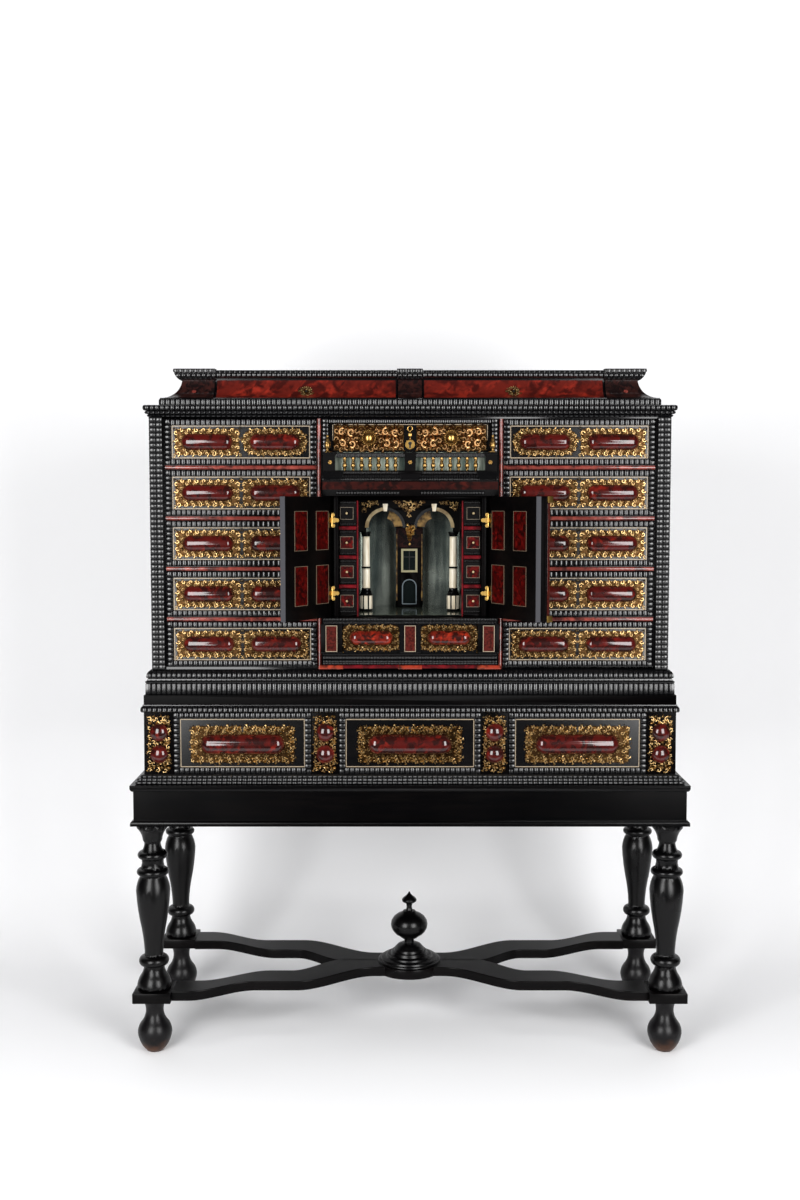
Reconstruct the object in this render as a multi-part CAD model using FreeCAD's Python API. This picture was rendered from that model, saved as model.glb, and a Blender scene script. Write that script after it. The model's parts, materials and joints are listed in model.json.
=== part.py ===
import FreeCAD, Part
import math
import os

# Collector's cabinet on a stand, with drawers, a centre portico and a concave top.
# Millimetres, +Z up, the front faces -Y, the origin lies on the floor under the middle.
V = FreeCAD.Vector

# Stand
leg_spacing_x = 1202.0
leg_spacing_y = 385.0
block_size = 89.0
block_height = 24.0
stretcher_thickness = 23.0
stretcher_disc_radius = 81.0
stretcher_start = 12.0      # how far the arms start inwards of the leg axis
stretcher_mid_offset = 82.0    # leg axis to the straight middle of an arm
arm_half_width = 37.0
arm_bend_out = 434.0        # distance from the middle to the outer bend
arm_bend_in = 195.0         # distance from the middle to the inner bend
bend_length = 110.0
apron_overhang = 34.0       # leg axis to the apron's face, on the sides
apron_front_overhang = 48.0
apron_board = 26.0
apron_height = 68.0
apron_low_moulding = 12.0
stand_top_board = 14.5
stand_moulding_reach = 7.0
glue_block = 64.0

# Base case
base_inset = 22.0           # apron's face to the base case's side
base_front_inset = 27.0
base_bottom = 21.0
base_rail = 18.0
base_top = 22.0
base_drawer_height = 141.5
board = 18.0
back_board = 10.0
back_inset = 5.0
stile_depth = 20.0
base_guide = 12.0
base_stile_outer = 67.0
base_stile_inner = 63.0
base_centre_drawer = 326.0
base_moulding_reach = 19.0
base_band_reach = 6.0
base_band_height = 16.0

# Main case
main_inset = 18.0           # base case's side to the main case's side
main_front_inset = 19.0
plinth_height = 64.0
plinth_moulding_height = 58.0
plinth_moulding_reach = 13.0
drawer_rows = 5
drawer_height = 103.5
side_guide = 17.0           # case's side board to the drawer's runway
dust_board = 11.0
pilaster_width = 30.0
pilaster_thickness = 6.0
partition = 14.0
centre_half = 199.0
case_top = 30.5
cornice_height = 26.0
cornice_reach = 11.0
drawer_stop = 28.0          # drawer's end to the back board
drawer_front = 16.0
drawer_wall = 9.0
drawer_floor = 6.0
frame_width = 14.0
frame_thickness = 6.0
lock_size = (38.0, 6.0, 28.0)
lock_drop = 20.0            # drawer's top to the lock's top
sit_gap = 0.5               # drawer to the board that it runs on
run_gap = 1.0               # drawer to its guides and to the board above
cushion_sink = 2.5
side_cushion = (101.0, 34.5)
side_cushion_offset = 77.5
base_cushion = (187.0, 41.0)
base_cushion_drop = 3.0
boss_radius = 19.0
boss_spacing = 51.0

# Centre of the front
centre_base = 33.5
plinth_drawer_height = 67.0
plinth_cushion = (99.0, 33.0)
pedestal_width = 49.0
pedestal_reach = 34.0
pedestal_overlap = 5.0      # how far a pedestal stands before the partition
plinth_drawer_reach = 26.0
niche_floor = 14.0
architrave_height = 12.0
centre_frieze_height = 22.5
centre_ceiling = 12.0
centre_cornice_height = 20.5
centre_reach = 32.0
centre_cornice_reach = 46.0
corbel_width = 52.0
corbel_reach = 5.0
gallery_height = 45.0
gallery_rail = 7.5
gallery_foot = 3.0
gallery_pedestal = 22.0
gallery_pedestal_depth = 16.0
gallery_axis = 30.0         # main front to the line of the balusters
gallery_inset = 12.0        # centre's half width to the end pedestal's middle
balusters_per_side = 7
frieze_drawer_height = 63.5
frieze_guide = 21.0
frieze_drawer_depth = 300.0
frieze_board = 10.0
frieze_top_rail = 11.0
centre_strip = 13.0
plaque = (160.0, 58.0, 2.0)
plaque_margin = 3.0         # drawer's end to the plaque
plaque_boss = 11.0
mirror_thickness = 3.0

# Doors and their hinges
door_thickness = 14.0
door_gap = 1.0
meeting_gap = 1.5
door_open_angle = 121.5
pin_inset = 21.0            # centre's half width to the pin
pin_radius = 1.8
knuckle_radius = 3.6
pin_clearance = 0.05
knuckle_gap = 0.3
hinge_height = 40.0
hinge_inset = 54.0          # door's end to the hinge's middle
leaf_width = 9.0
leaf_thickness = 1.5
leaf_gap = 0.6
edge_relief = 4.5           # pin axis to the door's edge and to the stile's edge
stile_reach = 14.0          # main front to the stile's face
stile_width = 9.5
door_panel = (48.0, 88.0, 1.2)
door_panel_pitch = (82.0, 122.0)
door_panel_shift = 11.5     # door's middle to the panels' middle, towards the hinge
door_frame_inset = 30.0
door_frame_thickness = 3.0
astragal_lap = 15.0
astragal_width = 32.0
astragal_thickness = 6.0
door_column_radius = 8.0
door_column_block = 14.0

# Inside the centre
inner_drawer_rows = 4
inner_drawer_width = 40.0
inner_drawer_stop = 26.0    # drawer's end to the niche's back
inner_drawer_front = 8.0
inner_wall = 3.0
inner_guide = 8.0
inner_board = 9.0
inner_sill = 7.5
lintel = 10.0
niche_depth = 276.0
niche_step = 4.0            # floor board to the raised floor behind the doors
screen_setback = 110.0
screen_thickness = 12.0
screen_stile = 16.0
pendant_width = 26.0
arch_springing = 199.0      # raised floor to the springing line
pier_width = 66.0
pier_depth = 46.0
pier_height = 196.0
pier_niche = (33.0, 60.0, 12.0)
pier_niche_sill = 8.0
pendant_height = 30.0
column_inset = 15.0         # niche's wall to the column's axis
column_setback = 116.0
column_pedestal = 29.0
column_pedestal_height = 42.0
mirror_sill = 14.0
mirror_height = 200.0

# Top
step_inset = 22.0           # main case's side to the step's side
step_front_inset = 19.0
step_height = 16.0
cove_height = 51.0
cove_reach = 45.0
cove_lip = 2.0
cove_board = 12.0
cap_height = 17.0
cap_reach = 14.0
cap_block_rise = 4.0
end_block = 76.0            # neck's side to the end block's inner edge
centre_block = 56.0
top_drawer_depth = 280.0

# Turned profiles, bottom to top: height, bottom radius, middle radius (0 for straight), top radius
foot_profile = [(42, 19, 34, 40), (28, 40, 38, 30), (21, 30, 24, 21), (34, 21, 22, 30)]
leg_profile = [
    (6, 38, 0, 40), (23.5, 40, 38, 33), (20, 33, 27, 24), (5, 24, 0, 24), (24, 24, 35, 22),
    (11, 22, 0, 21.7), (73, 21.7, 25, 31.5), (72, 31.5, 36.8, 39.7), (33, 39.7, 37, 30.3),
    (3, 30.3, 0, 30), (16, 30, 37.3, 28), (13, 28, 0, 25), (10, 25, 0, 26), (18, 26, 34.7, 25),
    (19, 25, 20.6, 18.7), (7, 18.7, 0, 22.4),
    (30, 22.4, 26, 36), (14, 36, 0, 36)]
finial_profile = [
    (8, 70, 0, 70), (6, 62, 0, 46), (8, 38, 0, 38), (16, 38, 24, 12), (28, 12, 9, 11), (7, 21, 24, 21),
    (28, 26, 42, 44), (27, 44, 38, 20), (7, 19, 0, 19), (12, 8, 6, 8), (18, 10, 18.4, 12), (16, 9, 5, 1.5)]
baluster_profile = [(4, 3, 0, 3), (12, 2, 4.2, 2.4), (4, 3, 0, 3), (10, 2.2, 3.4, 2)]
urn_profile = [(3, 6.5, 0, 6.5), (5, 3, 0, 3), (13, 3.5, 7, 6), (3, 7, 0, 7), (10, 5, 4, 2), (6, 2, 3, 1)]
column_profile = [
    (6, 13, 0, 13), (7, 11.5, 0, 9.8), (47, 9.6, 0, 9.4), (4, 10.8, 0, 10.8), (72, 9.2, 0, 8.7),
    (4, 10.5, 0, 10.5), (7, 10.5, 11.4, 13.5)]
knob_profile = [(4, 2, 0, 2), (6, 2.2, 4.5, 2)]

# Heights of the main levels
foot_height = sum(part[0] for part in foot_profile)
leg_height = sum(part[0] for part in leg_profile)
z_block = foot_height
z_leg = z_block + block_height
z_apron = z_leg + leg_height
z_frieze = z_apron + apron_low_moulding
z_stand_top = z_frieze + apron_height
z_base = z_stand_top + stand_top_board
z_base_drawer = z_base + base_bottom + sit_gap
z_base_rail = z_base_drawer + base_drawer_height + run_gap
z_base_top = z_base_rail + base_rail
z_main = z_base_top + base_top
z_drawers = z_main + plinth_height
row_pitch = sit_gap + drawer_height + run_gap + dust_board
z_case_top = z_drawers + drawer_rows * row_pitch - dust_board
z_step = z_case_top + case_top
z_cove = z_step + step_height
z_cap = z_cove + cove_height
z_plinth_drawer = z_drawers + centre_base + sit_gap
z_floor = z_plinth_drawer + plinth_drawer_height + run_gap + niche_floor
z_frieze_top = z_case_top - frieze_top_rail
z_frieze_drawer = z_frieze_top - run_gap - frieze_drawer_height
z_gallery = z_frieze_drawer - sit_gap - gallery_height
z_centre_cornice = z_gallery - centre_cornice_height
z_centre_frieze = z_centre_cornice - centre_frieze_height
z_door_top = z_centre_frieze - architrave_height

# Half widths and front planes
apron_half = leg_spacing_x / 2 + apron_overhang
base_half = apron_half - base_inset
main_half = base_half - main_inset
step_half = main_half - step_inset
neck_half = step_half - cove_reach
stand_front = -leg_spacing_y / 2 - apron_front_overhang
stand_back = leg_spacing_y / 2 + apron_front_overhang
base_front = stand_front + base_front_inset
main_front = base_front + main_front_inset
case_back = stand_back - back_inset
step_front = main_front + step_front_inset
neck_front = step_front + cove_reach
drawer_inner = centre_half + partition + run_gap
drawer_outer = main_half - board - side_guide - run_gap
plinth_half = centre_half + pedestal_overlap - pedestal_width - run_gap
plinth_cushion_offset = (plinth_half + pedestal_width / 2) / 2
frieze_half = centre_half - frieze_guide - run_gap
plaque_offset = frieze_half - plaque_margin - plaque[0] / 2
gallery_end = centre_half - gallery_inset
stile_front = main_front - stile_reach
pin_x = centre_half - pin_inset
pin_y = stile_front - leaf_thickness - leaf_gap / 2
door_inner = pin_y - leaf_thickness - leaf_gap / 2
door_outer = door_inner - door_thickness
niche_back = main_front + niche_depth
drawer_back = case_back - back_board - drawer_stop
stile_outer = pin_x - edge_relief
stile_inner = stile_outer - stile_width
inner_drawer_outer = stile_inner - run_gap
inner_drawer_inner = inner_drawer_outer - inner_drawer_width
niche_wall_outer = inner_drawer_inner - run_gap
niche_half = niche_wall_outer - inner_wall
z_niche = z_floor + niche_step
arch_radius = (niche_half - screen_stile - pendant_width / 2) / 2
arch_offset = pendant_width / 2 + arch_radius
column_offset = niche_half - column_inset


def box(x0, x1, y0, y1, z0, z1):
    return Part.makeBox(x1 - x0, y1 - y0, z1 - z0, V(x0, y0, z0))


def mirror(shape):
    return shape.mirror(V(0, 0, 0), V(1, 0, 0))


def both_sides(shapes):
    return list(shapes) + [mirror(shape) for shape in shapes]


def face(points, place):
    # Closed outline: (a, b) is a line to that point, (am, bm, a, b) an arc through (am, bm).
    edges = []
    here = place(*points[0])
    for point in points[1:] + points[:1]:
        there = place(*point[-2:])
        if len(point) == 4:
            edges.append(Part.Arc(here, place(*point[:2]), there).toShape())
        elif here.distanceToPoint(there) > 1e-6:
            edges.append(Part.makeLine(here, there))
        here = there
    return Part.Face(Part.Wire(edges))


def turned(profile, x, y, z):
    # Solid of revolution about a vertical axis, from stacked members.
    edges = []
    here = V(x, y, z)
    for height, low, middle, high in profile:
        start = V(x + low, y, z)
        end = V(x + high, y, z + height)
        if here.distanceToPoint(start) > 1e-6:
            edges.append(Part.makeLine(here, start))
        if middle:
            edges.append(Part.Arc(start, V(x + middle, y, z + height / 2), end).toShape())
        else:
            edges.append(Part.makeLine(start, end))
        here = end
        z = z + height
    edges.append(Part.makeLine(here, V(x, y, z)))
    edges.append(Part.makeLine(V(x, y, z), edges[0].Vertexes[0].Point))
    return Part.Face(Part.Wire(edges)).revolve(V(x, y, 0), V(0, 0, 1), 360)


def moulding(points, half, front, back, z, inside=0.0):
    # Mitred strips along the front and both sides; points are (reach outwards, height).
    reach = max(point[-2] for point in points) + 1
    top = max(point[-1] for point in points) + 1
    run = face(points, lambda out, up: V(-half - reach, front - out, z + up))
    strip = run.extrude(V(2 * (half + reach), 0, 0))
    wedge = [(-half - reach, front - reach), (half + reach, front - reach),
             (half - inside, front + inside), (-half + inside, front + inside)]
    cutter = face(wedge, lambda x, y: V(x, y, z - 1)).extrude(V(0, 0, top + 1))
    side = face(points, lambda out, up: V(half + out, front - reach, z + up))
    side_strip = side.extrude(V(0, back - front + reach, 0))
    side_wedge = [(half + reach, front - reach), (half + reach, back), (half - inside, back),
                  (half - inside, front + inside)]
    side_cutter = face(side_wedge, lambda x, y: V(x, y, z - 1)).extrude(V(0, 0, top + 1))
    right = side_strip.common(side_cutter).Solids[0]
    return [strip.common(cutter).Solids[0], right, mirror(right)]


def frame(x0, x1, z0, z1, y, width, thickness):
    # Four mitred half-round strips on a panel's face.
    strips = []
    edge = thickness / 3
    low = [(0, 0), (0, edge), (width / 2, thickness, width, edge), (width, 0)]
    mid_x = (x0 + x1) / 2
    mid_z = (z0 + z1) / 2
    bottom = face(low, lambda across, out: V(x0, y - out, z0 + across)).extrude(V(x1 - x0, 0, 0))
    cut = [(x0, z0), (x1, z0), (x1 - width, z0 + width), (x0 + width, z0 + width)]
    cutter = face(cut, lambda x, z: V(x, y - thickness - 1, z)).extrude(V(0, thickness + 1, 0))
    strips.append(bottom.common(cutter).Solids[0])
    left = face(low, lambda across, out: V(x0 + across, y - out, z0)).extrude(V(0, 0, z1 - z0))
    cut = [(x0, z0), (x0, z1), (x0 + width, z1 - width), (x0 + width, z0 + width)]
    cutter = face(cut, lambda x, z: V(x, y - thickness - 1, z)).extrude(V(0, thickness + 1, 0))
    strips.append(left.common(cutter).Solids[0])
    strips.append(strips[0].mirror(V(0, 0, mid_z), V(0, 0, 1)))
    strips.append(strips[1].mirror(V(mid_x, 0, 0), V(1, 0, 0)))
    return strips


def drawer(x0, x1, y, depth, z0, z1, front, wall, floor, lock_z=None):
    # Front, two sides, back, bottom and, behind a keyhole, a lock case.
    inner = y + front
    pieces = [box(x0, x1, y, inner, z0, z1)]
    pieces.append(box(x0, x0 + wall, inner, y + depth, z0, z1))
    pieces.append(box(x1 - wall, x1, inner, y + depth, z0, z1))
    pieces.append(box(x0 + wall, x1 - wall, y + depth - wall, y + depth, z0, z1))
    pieces.append(box(x0 + wall, x1 - wall, inner, y + depth - wall, z0, z0 + floor))
    if lock_z:
        wide, deep, tall = lock_size
        middle = (x0 + x1) / 2
        half = wide / 2
        pieces.append(box(middle - half, middle + half, inner, inner + deep, lock_z - tall, lock_z))
    return pieces


def cushion(x, y, z, size):
    # Oblong domed cushion with round ends, seated on the face at y.
    length, height = size
    radius = height / 2
    reach = length / 2 - radius
    slant = radius * math.sqrt(0.5)
    outline = [(-reach - radius, 0), (-reach - slant, slant, -reach, radius), (reach, radius),
               (reach + slant, slant, reach + radius, 0)]
    half = face(outline, lambda along, up: V(x + along, y + cushion_sink, z + up))
    solid = half.revolve(V(x, y + cushion_sink, z), V(1, 0, 0), 180)
    keep = box(x - length, x + length, y - height, y, z - height, z + height)
    return solid.common(keep).Solids[0]


def boss(x, y, z, radius):
    sphere = Part.makeSphere(radius, V(x, y + radius * 0.25, z))
    keep = box(x - radius, x + radius, y - radius, y, z - radius, z + radius)
    return sphere.common(keep).Solids[0]


nodes = {}


def stand():
    leg_x = leg_spacing_x / 2
    leg_y = leg_spacing_y / 2
    feet = []
    legs = []
    blocks = []
    for x in (-leg_x, leg_x):
        for y in (-leg_y, leg_y):
            half = block_size / 2
            feet.append(turned(foot_profile, x, y, 0))
            blocks.append(box(x - half, x + half, y - half, y + half, z_block, z_leg))
            legs.append(turned(leg_profile, x, y, z_leg))
    nodes["feet"] = feet
    nodes["legs"] = legs
    nodes["stretcher"] = blocks + stretcher(leg_x - block_size / 2, leg_y)
    nodes["stretcher_finial"] = [turned(finial_profile, 0, 0, z_block + stretcher_thickness)]
    nodes["stand_apron"] = apron()


def stretcher(end, leg_y):
    # Four wavy arms that meet in pairs and run into a round centre disc.
    disc = Part.makeCylinder(stretcher_disc_radius, stretcher_thickness, V(0, 0, z_block))
    start = leg_y - stretcher_start
    middle = leg_y - stretcher_mid_offset
    half = arm_half_width
    bend = bend_length / 2

    def edge(offset, last_y):
        # Straight, bend, straight, bend: one smooth edge of the arm, from the block inwards.
        outer_y = offset - start
        inner_y = offset - middle
        places = [(end, outer_y), (arm_bend_out + bend, outer_y), (arm_bend_out - bend, inner_y),
                  (arm_bend_in + bend, inner_y), (arm_bend_in - bend, last_y)]
        points = [V(x, y, z_block) for x, y in places]
        curve = Part.BSplineCurve()
        curve.interpolate(Points=points, Tangents=[V(-1, 0, 0)] * 5, TangentFlags=[True] * 5)
        return curve.toShape(), points

    neck_y = -arm_half_width * 1.55
    front_curve, front_points = edge(-half, neck_y)
    back_curve, back_points = edge(half, 0.0)
    tip = V(stretcher_disc_radius / 4, neck_y, z_block)
    tip_back = V(stretcher_disc_radius / 4, 0, z_block)
    edges = [front_curve, Part.makeLine(front_points[-1], tip), Part.makeLine(tip, tip_back),
             Part.makeLine(tip_back, back_points[-1]), back_curve,
             Part.makeLine(back_points[0], front_points[0])]
    arm = Part.Face(Part.Wire(Part.__sortEdges__(edges))).extrude(V(0, 0, stretcher_thickness))
    arm = arm.cut(disc).Solids[0]
    front_pair = both_sides([arm])
    rear_pair = [piece.mirror(V(0, 0, 0), V(0, 1, 0)) for piece in front_pair]
    return front_pair + rear_pair + [disc]


def apron():
    inner = apron_half - apron_board
    front_in = stand_front + apron_board
    back_in = stand_back - apron_board
    pieces = [box(-apron_half, apron_half, stand_front, front_in, z_apron, z_stand_top),
              box(-apron_half, apron_half, back_in, stand_back, z_apron, z_stand_top),
              box(-apron_half, apron_half, stand_front, stand_back, z_stand_top, z_base)]
    near = inner - glue_block
    pieces += both_sides([box(inner, apron_half, front_in, back_in, z_apron, z_stand_top),
                          box(near, inner, front_in, front_in + glue_block, z_apron, z_stand_top),
                          box(near, inner, back_in - glue_block, back_in, z_apron, z_stand_top)])
    reach = stand_moulding_reach
    low = apron_low_moulding
    low_outline = [(0, 0), (reach, 0), (reach, low * 0.45), (reach * 0.8, low * 0.8, reach * 0.3, low),
                   (0, low)]
    pieces += moulding(low_outline, apron_half, stand_front, stand_back, z_apron)
    top = stand_top_board
    top_outline = [(0, 0), (reach * 0.3, 0), (reach * 0.8, top * 0.25, reach, top * 0.6), (reach, top),
                   (0, top)]
    pieces += moulding(top_outline, apron_half, stand_front, stand_back, z_stand_top)
    return pieces


def base_case():
    side_in = base_half - board
    behind = base_front + stile_depth
    back = case_back - back_board
    z0 = z_base + base_bottom
    half_centre = base_centre_drawer / 2 + run_gap
    stile_edge = half_centre + base_stile_inner
    drawer_end = base_half - base_stile_outer
    pieces = [box(-base_half, base_half, base_front, case_back, z_base, z0),
              box(-base_half, base_half, base_front, case_back, z_base_top, z_main),
              box(-base_half, base_half, base_front, behind, z_base_rail, z_base_top),
              box(-side_in, side_in, back, case_back, z0, z_base_top)]
    guide = base_guide
    pieces += both_sides([box(side_in, base_half, behind, case_back, z0, z_base_top),
                          box(drawer_end, base_half, base_front, behind, z0, z_base_rail),
                          box(half_centre, stile_edge, base_front, behind, z0, z_base_rail),
                          box(drawer_end, drawer_end + guide, behind, back, z0, z_base_top),
                          box(half_centre, half_centre + guide, behind, back, z0, z_base_top),
                          box(stile_edge - guide, stile_edge, behind, back, z0, z_base_top)])
    reach = base_moulding_reach
    low = [(0, 0), (reach, 0), (reach, 3), (reach * 0.75, 6, reach * 0.55, base_bottom * 0.5),
           (reach * 0.4, base_bottom * 0.8, 0, base_bottom)]
    pieces += moulding(low, base_half, base_front, case_back, z_base)
    tip = base_band_reach
    band = [(0, 0), (tip, 0), (tip, 3), (tip * 0.75, base_band_height * 0.6, 1.5, base_band_height),
            (0, base_band_height)]
    pieces += moulding(band, base_half, base_front, case_back, z_base_top - base_band_height)
    nodes["base_case"] = pieces
    z_mid = z_base_drawer + base_drawer_height / 2
    stile_middles = [half_centre + base_stile_inner / 2, base_half - base_stile_outer / 2 - 1]
    bosses = []
    for x in stile_middles:
        for up in (-boss_spacing / 2, boss_spacing / 2):
            bosses += both_sides([boss(x, base_front, z_mid + up, boss_radius)])
    nodes["base_bosses"] = bosses
    near = stile_edge + run_gap
    far = drawer_end - run_gap
    spans = {"left": (-far, -near), "centre": (run_gap - half_centre, half_centre - run_gap),
             "right": (near, far)}
    for name, (x0, x1) in spans.items():
        top = z_base_drawer + base_drawer_height
        panel = base_front + frame_thickness - 2
        body = drawer(x0, x1, panel, drawer_back - panel, z_base_drawer, top, drawer_front, drawer_wall,
                      drawer_floor, top - lock_drop)
        strips = frame(x0, x1, z_base_drawer, top, panel, frame_width, frame_thickness)
        nodes["base_drawer_" + name] = body + strips
        z_cushion = z_mid - base_cushion_drop
        nodes["base_cushion_" + name] = [cushion((x0 + x1) / 2, panel, z_cushion, base_cushion)]


def main_case():
    side_in = main_half - board
    back = case_back - back_board
    pieces = [box(-side_in, side_in, main_front, main_front + board, z_main, z_drawers - board),
              box(-side_in, side_in, main_front, back, z_drawers - board, z_drawers),
              box(-main_half, main_half, main_front, case_back, z_case_top, z_step),
              box(-side_in, side_in, back, case_back, z_main, z_case_top)]
    guide = drawer_outer + run_gap
    sides = [box(side_in, main_half, main_front, case_back, z_main, z_case_top),
             box(guide, side_in, main_front, back, z_drawers, z_case_top),
             box(centre_half, centre_half + partition, main_front, back, z_drawers, z_case_top),
             box(main_half - pilaster_width, main_half, main_front - pilaster_thickness, main_front,
                 z_main + plinth_moulding_height, z_case_top)]
    for row in range(1, drawer_rows):
        z = z_drawers + row * row_pitch - dust_board
        sides.append(box(centre_half + partition, guide, main_front, back, z, z + dust_board))
    nodes["main_case"] = pieces + both_sides(sides)
    high = plinth_moulding_height
    reach = plinth_moulding_reach
    plinth = [(0, 0), (reach, 0), (reach, high * 0.465), (reach + 1.5, high * 0.49),
              (reach + 1.5, high * 0.535), (reach - 1, high * 0.58), (reach - 1, high * 0.62),
              (reach - 2.5, high * 0.655),
              (reach - 4, high * 0.83, 2, high), (0, high)]
    mouldings = moulding(plinth, main_half, main_front, case_back, z_main)
    out = cornice_reach
    tall = cornice_height
    cornice = [(0, 0), (1.5, 0), (1.5, tall * 0.19), (3.5, tall * 0.31), (3.5, tall * 0.46),
               (5, tall * 0.62, out * 0.8, tall * 0.69), (out, tall * 0.73), (out, tall), (0, tall)]
    mouldings += moulding(cornice, main_half, main_front, case_back, z_step - tall)
    nodes["case_mouldings"] = mouldings


def side_drawers():
    for row in range(drawer_rows):
        z0 = z_drawers + (drawer_rows - 1 - row) * row_pitch + sit_gap
        z1 = z0 + drawer_height
        panel = main_front + 2
        for side, x0, x1 in (("left", -drawer_outer, -drawer_inner), ("right", drawer_inner, drawer_outer)):
            number = str(row + 1)
            body = drawer(x0, x1, panel, drawer_back - panel, z0, z1, drawer_front, drawer_wall, drawer_floor,
                          z1 - lock_drop)
            strips = frame(x0, x1, z0, z1, panel, frame_width, frame_thickness)
            nodes[side + "_drawer_" + number] = body + strips
            middle = (x0 + x1) / 2
            nodes[side + "_cushions_" + number] = [
                cushion(middle + step, panel, (z0 + z1) / 2, side_cushion)
                for step in (-side_cushion_offset, side_cushion_offset)]


def centre_front():
    # Fixed work of the centre: base, pedestals, architrave, frieze, cornice and frame strips.
    back = case_back - back_board
    out = pedestal_reach
    tall = centre_base
    base = [(0, 0), (out + 6, 0), (out + 6, tall * 0.27), (out + 3, tall * 0.33), (out + 3, tall * 0.42),
            (out - 2, tall * 0.66, out - 4, tall), (0, tall)]
    base_face = face(base, lambda out, up: V(-centre_half, main_front - out, z_drawers + up))
    pieces = [base_face.extrude(V(2 * centre_half, 0, 0))]
    z_board = z_drawers + centre_base
    pieces.append(box(-centre_half, centre_half, main_front, back, z_board - 10, z_board))
    ped_in = plinth_half + run_gap
    ped_top = z_floor - niche_floor
    front = main_front - pedestal_reach
    pieces += both_sides([box(ped_in, ped_in + pedestal_width, front, main_front, z_board, ped_top),
                          box(ped_in, centre_half, main_front, back, z_board, ped_top)])
    pieces.append(box(-centre_half, centre_half, front, niche_back + board, ped_top, z_floor))
    architrave = main_front - centre_reach
    pieces.append(box(-centre_half, centre_half, architrave, main_front, z_door_top, z_centre_cornice))
    near = centre_reach
    far = centre_cornice_reach
    tall = centre_cornice_height
    cornice = [(near, 0), (near + 4, 0), (near + 4, tall * 0.3), (near + 6, tall * 0.58, far - 2, tall * 0.7),
               (far, tall * 0.75), (far, tall), (near, tall)]
    cornice_face = face(cornice, lambda out, up: V(-centre_half, main_front - out, z_centre_cornice + up))
    pieces.append(cornice_face.extrude(V(2 * centre_half, 0, 0)))
    pieces.append(box(-centre_half, centre_half, architrave, main_front, z_centre_cornice, z_gallery))
    corbel = main_front - centre_cornice_reach
    pieces.append(box(-corbel_width / 2, corbel_width / 2, corbel - corbel_reach, corbel,
                      z_gallery - 5, z_gallery))
    z_shelf = z_frieze_drawer - sit_gap
    shelf_front = main_front + mirror_thickness
    pieces.append(box(-centre_half, centre_half, shelf_front, back, z_shelf - frieze_board, z_shelf))
    z_ceiling = z_door_top + centre_ceiling
    pieces.append(box(-centre_half, centre_half, main_front, back, z_door_top, z_ceiling))
    pieces.append(box(-centre_half, centre_half, main_front, main_front + board, z_ceiling, z_gallery))
    half = frieze_half + run_gap
    pieces.append(box(-centre_half, centre_half, main_front, main_front + board, z_frieze_top, z_case_top))
    strip = centre_half - centre_strip
    proud = main_front - pilaster_thickness
    pieces += both_sides([box(half, centre_half, main_front, back, z_shelf, z_frieze_top),
                          box(strip, centre_half, proud, main_front, z_gallery, z_case_top)])
    nodes["centre_front"] = pieces


def gallery():
    axis = main_front - gallery_axis
    top = z_gallery + gallery_height - sit_gap - run_gap
    rail = top - gallery_rail
    half = gallery_pedestal / 2
    deep = gallery_pedestal_depth / 2
    pieces = []
    pedestals = (-gallery_end, 0.0, gallery_end)
    for x in pedestals:
        pieces.append(box(x - half + 2, x + half - 2, axis - deep + 2, axis + deep - 2, z_gallery, top - 4))
        pieces.append(box(x - half, x + half, axis - deep, axis + deep, top - 4, top))
    bay = gallery_end - 2 * half
    foot = z_gallery + gallery_foot
    scale = (rail - foot) / sum(part[0] for part in baluster_profile)
    profile = [(part[0] * scale,) + part[1:] for part in baluster_profile]
    run = []
    step = bay / (balusters_per_side + 1)
    for count in range(balusters_per_side):
        run.append(turned(profile, half * 1.5 + step * (count + 1), axis, foot))
    inner = half - 2
    outer = gallery_end - half + 2
    run.append(box(inner, outer, axis - 4, axis + 4, z_gallery, foot))
    run.append(box(inner, outer, axis - 4.5, axis + 4.5, rail, top - 4))
    run.append(turned(urn_profile, gallery_end, axis, top))
    nodes["gallery"] = pieces + both_sides(run)


def frieze_drawer():
    half = frieze_half
    z1 = z_frieze_drawer + frieze_drawer_height
    body = drawer(-half, half, main_front, frieze_drawer_depth, z_frieze_drawer, z1, drawer_front,
                  drawer_wall, drawer_floor, z1 - lock_drop)
    wide, tall, thick = plaque
    z_mid = (z_frieze_drawer + z1) / 2
    plate = box(plaque_offset - wide / 2, plaque_offset + wide / 2, main_front - thick, main_front,
                z_mid - tall / 2, z_mid + tall / 2)
    oval = boss(plaque_offset, main_front - thick, z_mid, plaque_boss)
    nodes["frieze_drawer"] = body + both_sides([plate, oval])


def plinth_drawer():
    half = plinth_half
    z0 = z_plinth_drawer
    z1 = z0 + plinth_drawer_height
    front = main_front - plinth_drawer_reach
    body = drawer(-half, half, front, drawer_back - front, z0, z1, drawer_front, drawer_wall, drawer_floor)
    pilaster = box(-pedestal_width / 2, pedestal_width / 2, front - 8, front, z0, z1)
    nodes["plinth_drawer"] = body + [pilaster]
    z_mid = (z0 + z1) / 2 + 2
    nodes["plinth_cushions"] = both_sides([cushion(plinth_cushion_offset, front, z_mid, plinth_cushion)])


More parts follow.
